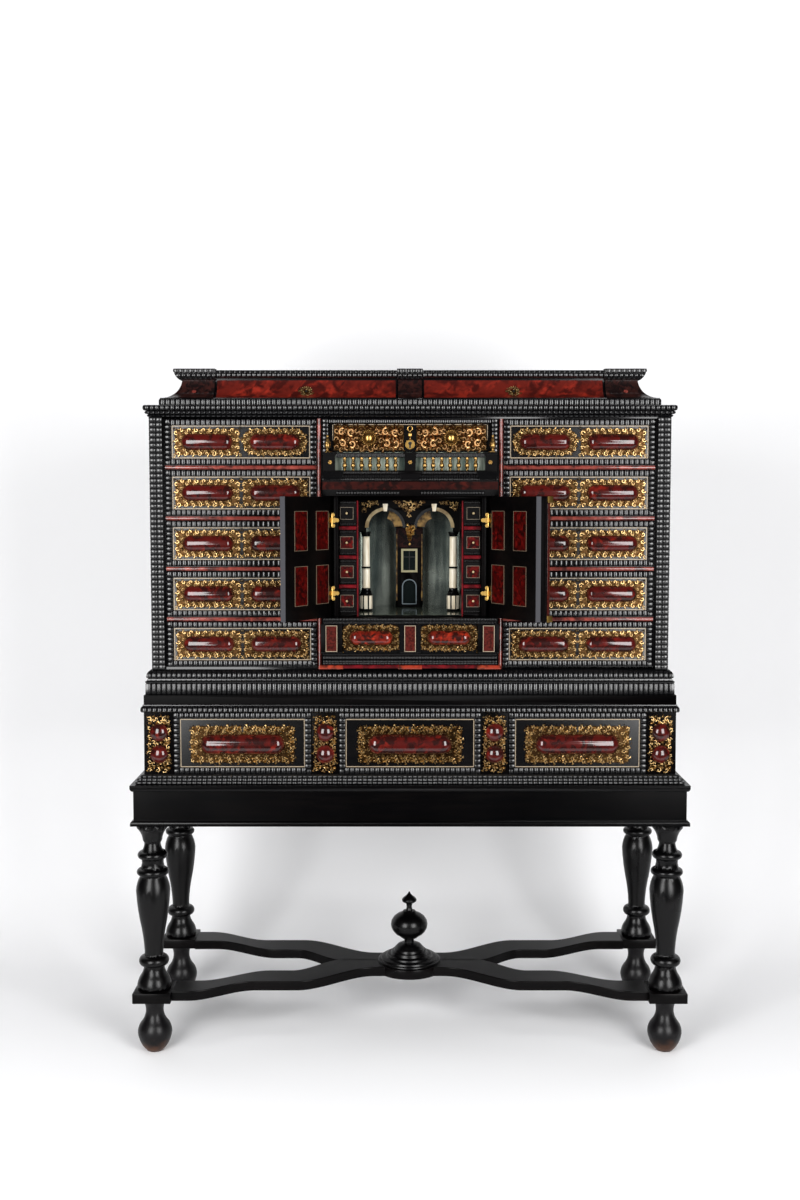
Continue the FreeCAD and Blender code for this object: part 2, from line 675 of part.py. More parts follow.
def hinge(z, moving):
    # Half of a surface hinge on the right-hand door, shut: the plate, its knuckles and, if fixed, the pin.
    section = hinge_height / 3
    y0 = pin_y + leaf_gap / 2
    if moving:
        y0 = pin_y - leaf_gap / 2 - leaf_thickness
    plate = box(pin_x - edge_relief - leaf_width, pin_x - edge_relief, y0, y0 + leaf_thickness,
                z - hinge_height / 2, z + hinge_height / 2)
    spans = [(z - section / 2 + knuckle_gap / 2, z + section / 2 - knuckle_gap / 2)]
    bore = pin_radius + pin_clearance
    if not moving:
        bore = pin_radius
        spans = [(z - hinge_height / 2, z - section / 2 - knuckle_gap / 2),
                 (z + section / 2 + knuckle_gap / 2, z + hinge_height / 2)]
    solid = plate
    for z0, z1 in spans:
        tongue = box(pin_x - edge_relief - 1, pin_x, y0, y0 + leaf_thickness, z0, z1)
        barrel = Part.makeCylinder(knuckle_radius, z1 - z0, V(pin_x, pin_y, z0))
        solid = solid.fuse(tongue).fuse(barrel)
    hole = Part.makeCylinder(bore, hinge_height + 2, V(pin_x, pin_y, z - hinge_height / 2 - 1))
    pieces = [solid.cut(hole).removeSplitter().Solids[0]]
    if not moving:
        pieces.append(Part.makeCylinder(pin_radius, hinge_height, V(pin_x, pin_y, z - hinge_height / 2)))
    return pieces


def doors():
    z0 = z_floor + door_gap
    z1 = z_door_top - door_gap
    hinge_z = (z0 + hinge_inset, z1 - hinge_inset)
    x0 = meeting_gap / 2
    x1 = stile_outer
    panel = box(x0, x1, door_outer, door_inner, z0, z1)
    wide, tall, thick = door_panel
    mid_x = (x0 + x1) / 2
    mid_z = (z0 + z1) / 2
    pieces = [panel]
    for across in (-0.5, 0.5):
        for up in (-0.5, 0.5):
            x = mid_x + door_panel_shift + across * door_panel_pitch[0]
            z = mid_z + up * door_panel_pitch[1]
            pieces.append(box(x - wide / 2, x + wide / 2, door_inner, door_inner + thick,
                              z - tall / 2, z + tall / 2))
    inset = door_frame_inset
    pieces += frame(x0 + inset, x1 - inset, z0 + inset, z1 - inset, door_outer, frame_width,
                    door_frame_thickness)
    leaves = []
    fixed = []
    for z in hinge_z:
        leaves += hinge(z, True)
        fixed += hinge(z, False)
    lap = x0 - astragal_lap
    front = door_outer - astragal_thickness
    far = lap + astragal_width
    outline = [(lap, front), (far, front), (far, door_outer), (x0, door_outer), (x0, door_outer - run_gap),
               (lap, door_outer - run_gap)]
    astragal = face(outline, lambda x, y: V(x, y, z0)).extrude(V(0, 0, z1 - z0))
    axis_x = lap + astragal_width / 2
    axis_y = front - door_column_radius - 1
    column = [astragal]
    shaft = z1 - z0 - 2 * door_column_block
    column.append(Part.makeCylinder(door_column_radius, shaft, V(axis_x, axis_y, z0 + door_column_block)))
    for z in (z0, z1 - door_column_block):
        column.append(box(axis_x - 11, axis_x + 11, axis_y - 10, front, z, z + door_column_block))
    opened = {}
    opened["right_door"] = pieces + column
    opened["right_door_hinges"] = leaves
    opened["left_door"] = [mirror(piece) for piece in pieces]
    opened["left_door_hinges"] = [mirror(piece) for piece in leaves]
    for name, solids in opened.items():
        side = 1 if name.startswith("right") else -1
        for solid in solids:
            solid.rotate(V(side * pin_x, pin_y, 0), V(0, 0, 1), side * door_open_angle)
        nodes[name] = solids
    nodes["door_hinges"] = both_sides(fixed)


def inner_case():
    # Stiles, lintel, walls, boards and the back of the space behind the doors.
    guide = stile_inner + inner_guide
    z_low = z_floor + inner_sill
    z_high = z_door_top - lintel
    back = niche_back
    pieces = [box(-guide, guide, main_front, back, z_high, z_door_top),
              box(-guide, guide, back, back + board, z_floor, z_door_top)]
    parts = [box(stile_inner, stile_outer, stile_front, main_front, z_floor, z_door_top),
             box(stile_inner, guide, main_front, back, z_floor, z_high),
             box(guide, centre_half, main_front, main_front + board, z_floor, z_door_top),
             box(niche_half, niche_wall_outer, main_front, back, z_floor, z_high),
             box(niche_wall_outer, stile_inner, main_front, back, z_floor, z_low)]
    pieces.append(box(-niche_half, niche_half, main_front, back, z_floor, z_niche))
    for row in range(1, inner_drawer_rows):
        z = z_low + row * inner_pitch(z_low, z_high) - inner_board
        parts.append(box(niche_wall_outer, stile_inner, main_front, back, z, z + inner_board))
    half = pier_width / 2
    pier_front = back - pier_depth
    wide, tall, deep = pier_niche
    sill = z_niche + pier_niche_sill
    arch = [(-wide / 2, sill), (wide / 2, sill), (wide / 2, sill + tall - wide / 2),
            (0, sill + tall, -wide / 2, sill + tall - wide / 2)]
    recess = face(arch, lambda x, z: V(x, pier_front - 1, z)).extrude(V(0, deep + 1, 0))
    pier = box(-half, half, pier_front, back, z_niche, z_niche + pier_height).cut(recess).Solids[0]
    nodes["inner_case"] = pieces + both_sides(parts) + [pier]
    for row in range(inner_drawer_rows):
        z0 = z_low + (inner_drawer_rows - 1 - row) * inner_pitch(z_low, z_high) + sit_gap
        z1 = z0 + inner_pitch(z_low, z_high) - inner_board - sit_gap - run_gap
        knob = turned(knob_profile, 0, 0, 0)
        knob.rotate(V(0, 0, 0), V(1, 0, 0), 90)
        for side, x0, x1 in (("left", -inner_drawer_outer, -inner_drawer_inner),
                             ("right", inner_drawer_inner, inner_drawer_outer)):
            deep = niche_depth - inner_drawer_stop
            body = drawer(x0, x1, main_front, deep, z0, z1, inner_drawer_front, 4.0, 4.0)
            place = V((x0 + x1) / 2, main_front, (z0 + z1) / 2)
            nodes["inner_drawer_" + side + "_" + str(row + 1)] = body + [knob.translated(place)]


def inner_pitch(z_low, z_high):
    return (z_high - z_low + inner_board) / inner_drawer_rows


def niche():
    front = main_front + screen_setback
    top = z_door_top - lintel
    spring = z_niche + arch_springing
    left = [-arch_offset - arch_radius, -arch_offset, -arch_offset + arch_radius]
    right = [-x for x in reversed(left)]
    crown = spring + arch_radius
    drop = spring - pendant_height
    foot = z_niche + column_pedestal_height + sum(part[0] for part in column_profile)
    outline = [(-niche_half, foot), (left[0], foot), (left[0], spring),
               (left[1], crown, left[2], spring), (0, drop), (right[0], spring),
               (right[1], crown, right[2], spring), (right[2], foot), (niche_half, foot),
               (niche_half, top), (-niche_half, top)]
    screen = face(outline, lambda x, z: V(x, front, z)).extrude(V(0, screen_thickness, 0))
    nodes["niche_screen"] = [screen]
    y = main_front + column_setback
    half = column_pedestal / 2
    corner = half * math.tan(math.pi / 8)
    octagon = [(corner, -half), (half, -corner), (half, corner), (corner, half), (-corner, half),
               (-half, corner), (-half, -corner), (-corner, -half)]
    base = face(octagon, lambda a, b: V(column_offset + a, y + b, z_niche))
    pedestal = base.extrude(V(0, 0, column_pedestal_height))
    shaft = turned(column_profile, column_offset, y, z_niche + column_pedestal_height)
    nodes["niche_columns"] = both_sides([pedestal, shaft])
    sill = z_niche + mirror_sill
    glass = [box(pier_width / 2, niche_half, niche_back - mirror_thickness, niche_back, sill,
                 sill + mirror_height)]
    shelf_front = main_front + mirror_thickness
    behind = box(-centre_half, centre_half, main_front, shelf_front, z_gallery, z_frieze_drawer - sit_gap)
    nodes["niche_mirrors"] = both_sides(glass) + [behind]


def top_case():
    back = case_back - back_board
    cap_half = neck_half
    pieces = [box(-step_half, step_half, step_front, case_back, z_step, z_cove),
              box(-neck_half + cove_board, neck_half - cove_board, back, case_back, z_cove, z_cap),
              box(-cap_half, cap_half, neck_front, case_back, z_cap, z_cap + cap_height)]
    near = 1 - math.sqrt(0.5)
    hollow = (cove_reach * near, cove_lip + (cove_height - cove_lip) * near)
    cove = [(-cove_board, 0), (cove_reach, 0), (cove_reach, cove_lip), hollow + (0, cove_height),
            (-cove_board, cove_height)]
    runs = moulding(cove, neck_half, neck_front, case_back, z_cove, cove_board)
    block_in = neck_half - end_block
    deep = cove_reach + cove_board + 2
    low_y = neck_front - deep
    high_y = neck_front + deep
    corner = runs[0].common(box(block_in, step_half + 2, low_y, high_y, z_cove, z_cap))
    middle = runs[0].common(box(-centre_block / 2, centre_block / 2, low_y, high_y, z_cove, z_cap))
    pieces += both_sides(corner.Solids) + middle.Solids + runs[1:]
    pieces += both_sides([box(block_in, block_in + cove_board, neck_front + cove_board, back, z_cove, z_cap)])
    pieces.append(box(-centre_block / 2, centre_block / 2, neck_front + cove_board, back, z_cove, z_cap))
    cap = [(0, 0), (3, 0), (cap_reach * 0.75, cap_height * 0.2, cap_reach - 1, cap_height * 0.5),
           (cap_reach, cap_height * 0.55), (cap_reach, cap_height), (0, cap_height)]
    pieces += moulding(cap, cap_half, neck_front, case_back, z_cap)
    z_top = z_cap + cap_height
    block_deep = neck_front + end_block
    pieces += both_sides([box(block_in, neck_half + cap_reach, neck_front - cap_reach, block_deep, z_top,
                              z_top + cap_block_rise)])
    pieces.append(box(-centre_block / 2, centre_block / 2, neck_front - cap_reach, block_deep, z_top,
                      z_top + cap_block_rise))
    nodes["top_case"] = pieces
    x0 = centre_block / 2 + run_gap
    x1 = block_in - run_gap
    z0 = z_cove + sit_gap
    z1 = z_cap - run_gap
    front_face = [(-cove_board, sit_gap), (cove_reach, sit_gap), (cove_reach, cove_lip),
                  hollow + (0, cove_height - run_gap), (-cove_board, cove_height - run_gap)]
    outline = face(front_face, lambda out, up: V(x0, neck_front - out, z_cove + up))
    concave = outline.extrude(V(x1 - x0, 0, 0))
    body = drawer(x0, x1, neck_front + cove_board, top_drawer_depth, z0, z1, 4.0, 8.0, 5.0)
    nodes["top_drawer_right"] = [concave] + body
    nodes["top_drawer_left"] = [mirror(piece) for piece in nodes["top_drawer_right"]]


stand()
base_case()
main_case()
side_drawers()
centre_front()
gallery()
frieze_drawer()
plinth_drawer()
doors()
inner_case()
niche()
top_case()

# The origin goes under the middle of the whole outline, the open doors included.
shapes = {name: Part.makeCompound(solids) for name, solids in nodes.items()}
depths = [vertex.Y for shape in shapes.values() for vertex in shape.Vertexes]
shift = V(0, -(min(depths) + max(depths)) / 2, 0)
os.makedirs("parts", exist_ok=True)
for name, shape in shapes.items():
    shape.translate(shift)
    shape.exportStep("parts/" + name + ".step")
print("nodes", len(shapes), "solids", sum(len(shape.Solids) for shape in shapes.values()))
print("pin", round(pin_x, 4), round(pin_y + shift.y, 4), "shift", round(shift.y, 4))
z_highest = z_cap + cap_height + cap_block_rise
print("door heights", round(z_floor, 2), round(z_door_top, 2), "top", round(z_highest, 2))
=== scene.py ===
import json
import math
import random
import bpy
from mathutils import Matrix, Vector

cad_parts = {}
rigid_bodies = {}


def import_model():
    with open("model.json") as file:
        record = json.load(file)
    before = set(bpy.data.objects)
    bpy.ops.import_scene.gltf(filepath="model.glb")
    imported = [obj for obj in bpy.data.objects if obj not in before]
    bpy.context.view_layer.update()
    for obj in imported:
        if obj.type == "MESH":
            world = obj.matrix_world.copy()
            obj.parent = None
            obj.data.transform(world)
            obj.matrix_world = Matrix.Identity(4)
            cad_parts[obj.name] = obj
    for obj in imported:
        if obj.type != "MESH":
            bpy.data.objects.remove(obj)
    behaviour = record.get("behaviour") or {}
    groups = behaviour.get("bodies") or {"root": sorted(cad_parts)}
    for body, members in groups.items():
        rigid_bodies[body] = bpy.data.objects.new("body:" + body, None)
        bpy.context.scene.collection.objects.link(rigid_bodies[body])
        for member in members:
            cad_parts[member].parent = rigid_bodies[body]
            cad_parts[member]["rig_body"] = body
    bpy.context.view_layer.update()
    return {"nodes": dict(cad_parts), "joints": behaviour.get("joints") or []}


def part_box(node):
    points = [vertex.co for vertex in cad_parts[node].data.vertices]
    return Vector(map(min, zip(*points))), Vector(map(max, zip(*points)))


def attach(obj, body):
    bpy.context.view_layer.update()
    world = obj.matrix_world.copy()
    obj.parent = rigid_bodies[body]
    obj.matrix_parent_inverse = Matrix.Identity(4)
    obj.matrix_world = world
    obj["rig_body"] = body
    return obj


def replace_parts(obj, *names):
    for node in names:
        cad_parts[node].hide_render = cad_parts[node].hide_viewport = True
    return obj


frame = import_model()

nodes = frame["nodes"]
pi = math.pi
chance = random.Random(7)
hands = ((-1, "left"), (1, "right"))


def select(*objs):
    bpy.ops.object.select_all(action="DESELECT")
    for obj in objs:
        obj.select_set(True)
    bpy.context.view_layer.objects.active = objs[0]


def edited(obj, *steps, everything=True):
    select(obj)
    bpy.ops.object.mode_set(mode="EDIT")
    if everything:
        bpy.ops.mesh.select_all(action="SELECT")
    for step in steps:
        step()
    bpy.ops.object.mode_set(mode="OBJECT")
    return obj


def outward():
    bpy.ops.mesh.normals_make_consistent(inside=False)


def smoothed(obj, angle):
    select(obj)
    bpy.ops.object.shade_smooth_by_angle(angle=math.radians(angle))
    return obj


def cleaned(obj, angle=40, weld=0.00003):
    edited(obj, lambda: bpy.ops.mesh.remove_doubles(threshold=weld), outward)
    return smoothed(obj, angle)


def rounded(obj, width, segments=2, angle=35):
    select(obj)
    bevel = obj.modifiers.new("edge", "BEVEL")
    bevel.width = width
    bevel.segments = segments
    bevel.limit_method = "ANGLE"
    bevel.angle_limit = math.radians(angle)
    bpy.ops.object.modifier_apply(modifier=bevel.name)
    return obj


def trimmed(obj, keep):
    edited(obj, lambda: bpy.ops.mesh.select_all(action="DESELECT"))
    obj.data.vertices.foreach_set("select", [not keep(vertex.co) for vertex in obj.data.vertices])
    return edited(obj, lambda: bpy.ops.mesh.delete(type="VERT"), everything=False)


def joined(objs, name):
    select(*objs)
    if len(objs) > 1:
        bpy.ops.object.join()
    obj = bpy.context.view_layer.objects.active
    bpy.ops.object.transform_apply(location=True, rotation=True, scale=True)
    obj.name = name
    return obj


def copied(obj, matrix=None, name=None):
    twin = obj.copy()
    twin.data = obj.data.copy()
    bpy.context.scene.collection.objects.link(twin)
    if matrix:
        twin.data.transform(matrix)
        if matrix.determinant() < 0:
            twin.data.flip_normals()
    if name:
        twin.name = name
    return twin


def settled(obj, material, body="cabinet"):
    obj.data.materials.clear()
    obj.data.materials.append(material)
    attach(obj, body)
    return obj


def standIn(node, material, width=0.0, angle=40, keep=None):
    obj = copied(nodes[node], name=node + "Shape")
    for key in list(obj.keys()):
        del obj[key]
    obj.parent = None
    obj.hide_render = False
    obj.hide_viewport = False
    edited(obj, lambda: bpy.ops.mesh.remove_doubles(threshold=0.00001))
    if keep:
        trimmed(obj, keep)
    if width:
        edited(obj, lambda: bpy.ops.mesh.dissolve_limited(angle_limit=math.radians(1.0)))
        rounded(obj, width)
    settled(smoothed(obj, angle), material, nodes[node]["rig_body"])
    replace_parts(obj, node)
    return obj


def boxOf(node):
    low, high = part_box(node)
    return low, high, (low + high) / 2


def between(sign, near, far):
    return sorted((sign * near, sign * far))


def swell(co, x, z, wide, tall):
    co.x = x + (co.x - x) * wide
    co.z = z + (co.z - z) * tall


def paintFaces(obj, material, test):
    obj.data.materials.append(material)
    for face in obj.data.polygons:
        if test(face.center):
            face.material_index = len(obj.data.materials) - 1


def made(name, matrix=Matrix()):
    obj = bpy.context.object
    obj.name = name
    obj.data.transform(matrix)
    return obj


def gridPiece(name, columns, rows, put):
    bpy.ops.mesh.primitive_grid_add(x_subdivisions=columns - 1, y_subdivisions=rows - 1, size=2)
    obj = made(name)
    places = []
    for vertex in obj.data.vertices:
        i = round((vertex.co.x + 1) / 2 * (columns - 1))
        j = round((vertex.co.y + 1) / 2 * (rows - 1))
        places.extend(put(i, j))
    obj.data.vertices.foreach_set("co", places)
    obj.data.update()
    return obj


def boxPiece(name, low, high, soft=0.0):
    bpy.ops.mesh.primitive_cube_add(size=1)
    low, high = Vector(low), Vector(high)
    obj = made(name, Matrix.Translation((low + high) / 2) @ Matrix.Diagonal((*(high - low), 1)))
    return rounded(obj, soft) if soft else obj


def slabPiece(name, x, z, halfX, halfZ, y0, y1):
    return boxPiece(name, (x - halfX, y0, z - halfZ), (x + halfX, y1, z + halfZ))


def discPiece(name, x, y0, y1, z, radius, verts=20):
    bpy.ops.mesh.primitive_cylinder_add(vertices=verts, radius=radius, depth=abs(y1 - y0))
    return made(name, Matrix.Translation((x, (y0 + y1) / 2, z)) @ Matrix.Rotation(pi / 2, 4, "X"))


def uprightPiece(name, place, low, high, radius, verts=16):
    bpy.ops.mesh.primitive_cylinder_add(vertices=verts, radius=radius, depth=high - low)
    return made(name, Matrix.Translation((*place, (low + high) / 2)))


def ballPiece(name, place, size, segments=12, rings=8):
    bpy.ops.mesh.primitive_uv_sphere_add(segments=segments, ring_count=rings, radius=1)
    obj = made(name, Matrix.Translation(place) @ Matrix.Diagonal((*size, 1)))
    bpy.ops.object.shade_smooth()
    return obj


def borderPiece(name, x, z, halfX, halfZ, y, width, thick):
    def hollow():
        bpy.ops.mesh.inset(thickness=width)
        bpy.ops.mesh.delete(type="FACE")
        bpy.ops.mesh.select_all(action="SELECT")
        bpy.ops.mesh.extrude_region_move(TRANSFORM_OT_translate={"value": (0, -thick, 0)})
        bpy.ops.mesh.select_all(action="SELECT")
        outward()

    bpy.ops.mesh.primitive_plane_add(size=2)
    turn = Matrix.Diagonal((halfX, 1, halfZ, 1)) @ Matrix.Rotation(pi / 2, 4, "X")
    return edited(made(name, Matrix.Translation((x, y, z)) @ turn), hollow)


def beadRun(name, start, end, radius, flatten, steps=8):
    start, end = Vector(start), Vector(end)
    upright = abs((end - start).z) > abs((end - start).x)

    def put(i, j):
        angle = pi * j / steps
        across = radius * math.cos(angle)
        out = -flatten * math.sin(angle)
        spot = start.lerp(end, i)
        return (spot.x + across, spot.y + out, spot.z) if upright else (spot.x, spot.y + out, spot.z + across)

    return cleaned(gridPiece(name, 2, steps + 1, put))


# Ripple mouldings: rows of half-round ridges, profiles in mm with each row's share of the ridge
ridgeOffsets = (0.0, 0.06, 0.18, 0.34, 0.5, 0.66, 0.82, 0.94)
pitch = 0.0116


def ridge(t):
    f = 2 * (t - math.floor(t)) - 1
    return math.sqrt(max(0.0, 1 - f * f))


def scaled(points):
    return [(first / 1000, second / 1000, weight) for first, second, weight in points]


def stations(length, step):
    count = max(1, round(length / step))
    found = [length * (number + offset) / count for number in range(count) for offset in ridgeOffsets]
    return found + [length], count


def rippleFrame(name, low, high, y, points, depth):
    profile = scaled(points)
    along = []
    for side, span in enumerate((high.x - low.x, high.z - low.z) * 2):
        found, count = stations(span, pitch)
        along += [(side, s, span, count) for s in found]
    along.append(along[0])

    def put(i, j):
        side, s, span, count = along[i]
        across, out, weight = profile[j]
        s = min(max(s, across), span - across)
        out = out + weight * depth * ridge(s / span * count)
        x, z = ((low.x + s, low.z + across), (high.x - across, low.z + s),
                (high.x - s, high.z - across), (low.x + across, high.z - s))[side]
        return x, y - out, z

    return cleaned(gridPiece(name, len(along), len(profile), put))


def rippleWrap(name, half, front, z, depth, points):
    profile = scaled(points)
    reach = max(point[0] for point in profile)
    wide = 2 * (half + reach)
    deep = caseBack - front + reach
    sideStops, sideCount = stations(deep, pitch)
    frontStops, frontCount = stations(wide, pitch)
    along = [("left", None)] + [("left", s) for s in reversed(sideStops)] + [("front", s) for s in frontStops]
    along += [("right", s) for s in sideStops] + [("right", None)]  # None closes the rear end

    def put(i, j):
        side, s = along[i]
        out, up, weight = profile[j]
        gap = reach - out
        if s is None:
            return (-half if side == "left" else half), caseBack, z + up
        if side == "front":
            s = min(max(s, gap), wide - gap)
            far = out + weight * depth * ridge(s / wide * frontCount)
            x = s - half - reach
            if s == gap or s == wide - gap:
                x = math.copysign(half + far, x)
            return x, front - far, z + up
        s = max(s, gap)
        far = out + weight * depth * ridge(s / deep * sideCount)
        y = front - far if s == gap else front - reach + s
        return (half + far) * (-1 if side == "left" else 1), y, z + up

    return cleaned(gridPiece(name, len(along), len(profile), put))


def rippleRun(name, length, points, depth, step, put):
    profile = scaled(points)
    found, count = stations(length, step)

    def spot(i, j):
        out, up, weight = profile[j]
        return put(found[i], out + weight * depth * ridge(found[i] / length * count), up)

    return cleaned(gridPiece(name, len(found), len(profile), spot))


# Materials
class Wire:
    def __init__(self, tree, socket):
        self.tree = tree
        self.socket = socket

    def via(self, kind, inputs, output=0, **settings):
        node = self.tree.nodes.new(kind)
        for name, value in settings.items():
            setattr(node, name, value)
        for name, value in inputs.items():
            if isinstance(value, Wire):
                self.tree.links.new(value.socket, node.inputs[name])
            else:
                node.inputs[name].default_value = value
        return Wire(self.tree, node.outputs[output])

    def count(self, operation, first, second):
        return self.via("ShaderNodeMath", {0: first, 1: second}, operation=operation)

    def __add__(self, other):
        return self.count("ADD", self, other)

    def __sub__(self, other):
        return self.count("SUBTRACT", self, other)

    def __rsub__(self, other):
        return self.count("SUBTRACT", other, self)

    def __mul__(self, other):
        return self.count("MULTIPLY", self, other)

    __radd__ = __add__
    __rmul__ = __mul__

    def noise(self, scale, detail=3.0, distortion=0.0):
        inputs = {"Vector": self, "Scale": scale, "Detail": detail, "Distortion": distortion}
        return self.via("ShaderNodeTexNoise", inputs, "Fac")

    def stretched(self, x, y, z):
        return self.via("ShaderNodeMapping", {"Vector": self, "Scale": (x, y, z)})

    def turned(self, angle):
        return self.via("ShaderNodeMapping", {"Vector": self, "Rotation": (0.0, angle, 0.0)})

    def step(self, low, high):
        inputs = {"Value": self, "From Min": low, "From Max": high}
        return self.via("ShaderNodeMapRange", inputs, interpolation_type="SMOOTHSTEP")

    def mixed(self, first, second):
        return self.via("ShaderNodeMix", {0: self, 6: colour(first), 7: colour(second)}, 2, data_type="RGBA")

    def feed(self, shader, name):
        self.tree.links.new(self.socket, shader.inputs[name])


def colour(value):
    return value if isinstance(value, Wire) else (*value, 1.0)


def newMaterial(name, settings):
    material = bpy.data.materials.new(name)
    material.use_nodes = True
    shader = material.node_tree.nodes["Principled BSDF"]
    for key, value in settings.items():
        shader.inputs[key].default_value = value
    coordinates = material.node_tree.nodes.new("ShaderNodeTexCoord")
    return material, shader, Wire(material.node_tree, coordinates.outputs["Object"])


def plainMaterial(name, base, rough, metal=0.0):
    return newMaterial(name, {"Base Color": colour(base), "Roughness": rough, "Metallic": metal})[0]


def cloudMaterial(name, first, second, noise, settings, stretch=None, edges=(0.35, 0.7)):
    material, shader, place = newMaterial(name, settings)
    cloud = (place.stretched(*stretch) if stretch else place).noise(*noise)
    (cloud.step(*edges) if edges else cloud).mixed(first, second).feed(shader, "Base Color")
    return material


def ebonyMaterial(name, rough, gloss, dark, brown):
    material, shader, place = newMaterial(name, {"Specular IOR Level": gloss})
    grain = place.stretched(6.0, 60.0, 60.0).noise(2.0, 4.0)
    cloud = place.noise(5.0)
    (grain * 0.6 + cloud * 0.4).step(0.35, 0.75).mixed(dark, brown).feed(shader, "Base Color")
    (cloud * 0.12 + (rough - 0.06)).feed(shader, "Roughness")
    return material


def shellMaterial(name, dark, deep, bright, amount, scale=18.0, coat=1.0, slant=0.0, tall=1.6):
    material, shader, place = newMaterial(name, {
        "Roughness": 0.4, "Specular IOR Level": 0.05, "Coat Weight": coat, "Coat Roughness": 0.08,
        "Coat IOR": 1.55})
    flame = place.turned(slant).stretched(1.0, 1.0, tall).noise(scale, 4.0, 0.9)
    spots = place.noise(scale * 3.4, 3.0, 0.5)
    base = flame.step(0.5 - amount, 0.72 - amount * 0.5).mixed(deep, bright)
    cover = (flame * 0.5 + spots * 0.6).step(0.46, 0.62 + amount * 0.3)
    cover.mixed(base, dark).feed(shader, "Base Color")
    return material


def giltMaterial(name, gold, paintedHollowShade, rough, metal=1.0):
    material, shader, place = newMaterial(name, {"Metallic": metal})
    wear = place.noise(70.0)
    height = place.via("ShaderNodeAttribute", {}, "Fac", attribute_name="height")
    # Parts lying low in the relief (small height) take the dark colour: painted shade in the hollows and
    # around the strokes, with some patina.
    (height.step(0.18, 0.74) * (wear * 0.6 + 0.66)).mixed(paintedHollowShade, gold).feed(shader, "Base Color")
    (wear * 0.2 + rough).feed(shader, "Roughness")
    return material


ebony = ebonyMaterial("ebony", 0.19, 0.34, (0.0010, 0.0010, 0.0014), (0.0030, 0.0025, 0.0026))
ebonyWave = ebonyMaterial("ebonyWave", 0.27, 0.70, (0.0010, 0.0010, 0.0014), (0.0032, 0.0030, 0.0034))
ebonyStand = ebonyMaterial("ebonyStand", 0.19, 0.18, (0.0006, 0.0006, 0.0008), (0.0018, 0.0014, 0.0014))
ebonyDull = ebonyMaterial("ebonyDull", 0.30, 0.10, (0.0008, 0.0007, 0.0008), (0.0026, 0.0018, 0.0018))
ebonyFine = ebonyMaterial("ebonyFine", 0.27, 0.22, (0.0010, 0.0010, 0.0013), (0.0030, 0.0026, 0.0028))
ebonyPilaster = ebonyMaterial("ebonyPilaster", 0.33, 1.0, (0.0012, 0.0012, 0.0016), (0.0040, 0.0038, 0.0042))
ebonyShade = ebonyMaterial("ebonyShade", 0.34, 0.03, (0.0007, 0.0006, 0.0007), (0.0022, 0.0016, 0.0016))
ebonyLeg = ebonyMaterial("ebonyLeg", 0.28, 0.26, (0.0006, 0.0006, 0.0008), (0.0018, 0.0014, 0.0014))
shell = shellMaterial("tortoiseshell", (0.018, 0.0025, 0.002), (0.060, 0.004, 0.003), (0.20, 0.012, 0.006),
                      0.04)
shellBright = shellMaterial("tortoiseshellBright", (0.020, 0.003, 0.002), (0.13, 0.008, 0.004),
                            (0.40, 0.030, 0.010), 0.08, 22.0)
redEdge = shellMaterial("redEdge", (0.050, 0.010, 0.008), (0.150, 0.024, 0.018), (0.270, 0.055, 0.040), 0.16)
footRed = shellMaterial("footRed", (0.04, 0.006, 0.004), (0.22, 0.022, 0.010), (0.34, 0.050, 0.020), 0.16)
redBright = shellMaterial("redBright", (0.036, 0.002, 0.003), (0.096, 0.003, 0.006), (0.140, 0.006, 0.009),
                          0.16, 18.0, 0.3)
shellPanel = shellMaterial("shellPanel", (0.022, 0.003, 0.002), (0.060, 0.007, 0.005), (0.090, 0.012, 0.008),
                           0.14, 60.0, 0.3)
shellDoor = shellMaterial("shellDoor", (0.010, 0.001, 0.001), (0.036, 0.0011, 0.0010), (0.13, 0.004, 0.003),
                          0.12, 30.0, 0.15)
blockBrown = shellMaterial("blockBrown", (0.006, 0.003, 0.003), (0.018, 0.006, 0.005), (0.040, 0.010, 0.008),
                           0.08, 26.0, 0.6)
shellTop = shellMaterial("shellTop", (0.034, 0.004, 0.003), (0.085, 0.008, 0.005), (0.24, 0.019, 0.010),
                         0.10, 13.0, 0.4, 0.7, 3.4)
shellFrieze = shellMaterial("shellFrieze", (0.006, 0.0010, 0.0008), (0.022, 0.003, 0.002),
                            (0.060, 0.007, 0.004), 0.06, 20.0, 0.15)
giltDark = plainMaterial("giltDark", (0.10, 0.052, 0.016), 0.5, 1.0)
gilt = giltMaterial("gilt", (0.75, 0.51, 0.225), (0.050, 0.025, 0.009), 0.19)
giltRelief = giltMaterial("giltRelief", (0.60, 0.345, 0.150), (0.17, 0.092, 0.038), 0.28)
giltOld = giltMaterial("giltOld", (0.24, 0.16, 0.065), (0.03, 0.020, 0.008), 0.34)
# Spandrel gilt: brighter and only partly metallic, its diffuse colour standing in for the reflections of full
# metal: painted sheen.
giltBright = giltMaterial("giltBright", (0.86, 0.58, 0.24), (0.14, 0.07, 0.025), 0.24, 0.4)
giltDim = plainMaterial("giltDim", (0.30, 0.18, 0.06), 0.32, 1.0)
giltBrown = plainMaterial("giltBrown", (0.42, 0.25, 0.075), 0.3, 1.0)
giltPlain = plainMaterial("giltPlain", (0.50, 0.31, 0.085), 0.32, 1.0)
ivory = cloudMaterial("ivory", (0.92, 0.85, 0.68), (0.70, 0.58, 0.40), (3.0,),
                      {"Roughness": 0.35, "Coat Weight": 0.3}, (40.0, 40.0, 6.0))
boneDark = cloudMaterial("boneDark", (0.42, 0.33, 0.18), (0.20, 0.13, 0.05), (60.0,),
                         {"Roughness": 0.4}, edges=(0.3, 0.7))
ochre = cloudMaterial("ochre", (0.05, 0.022, 0.006), (0.42, 0.25, 0.07), (90.0, 4.0),
                      {"Roughness": 0.42, "Metallic": 0.35})
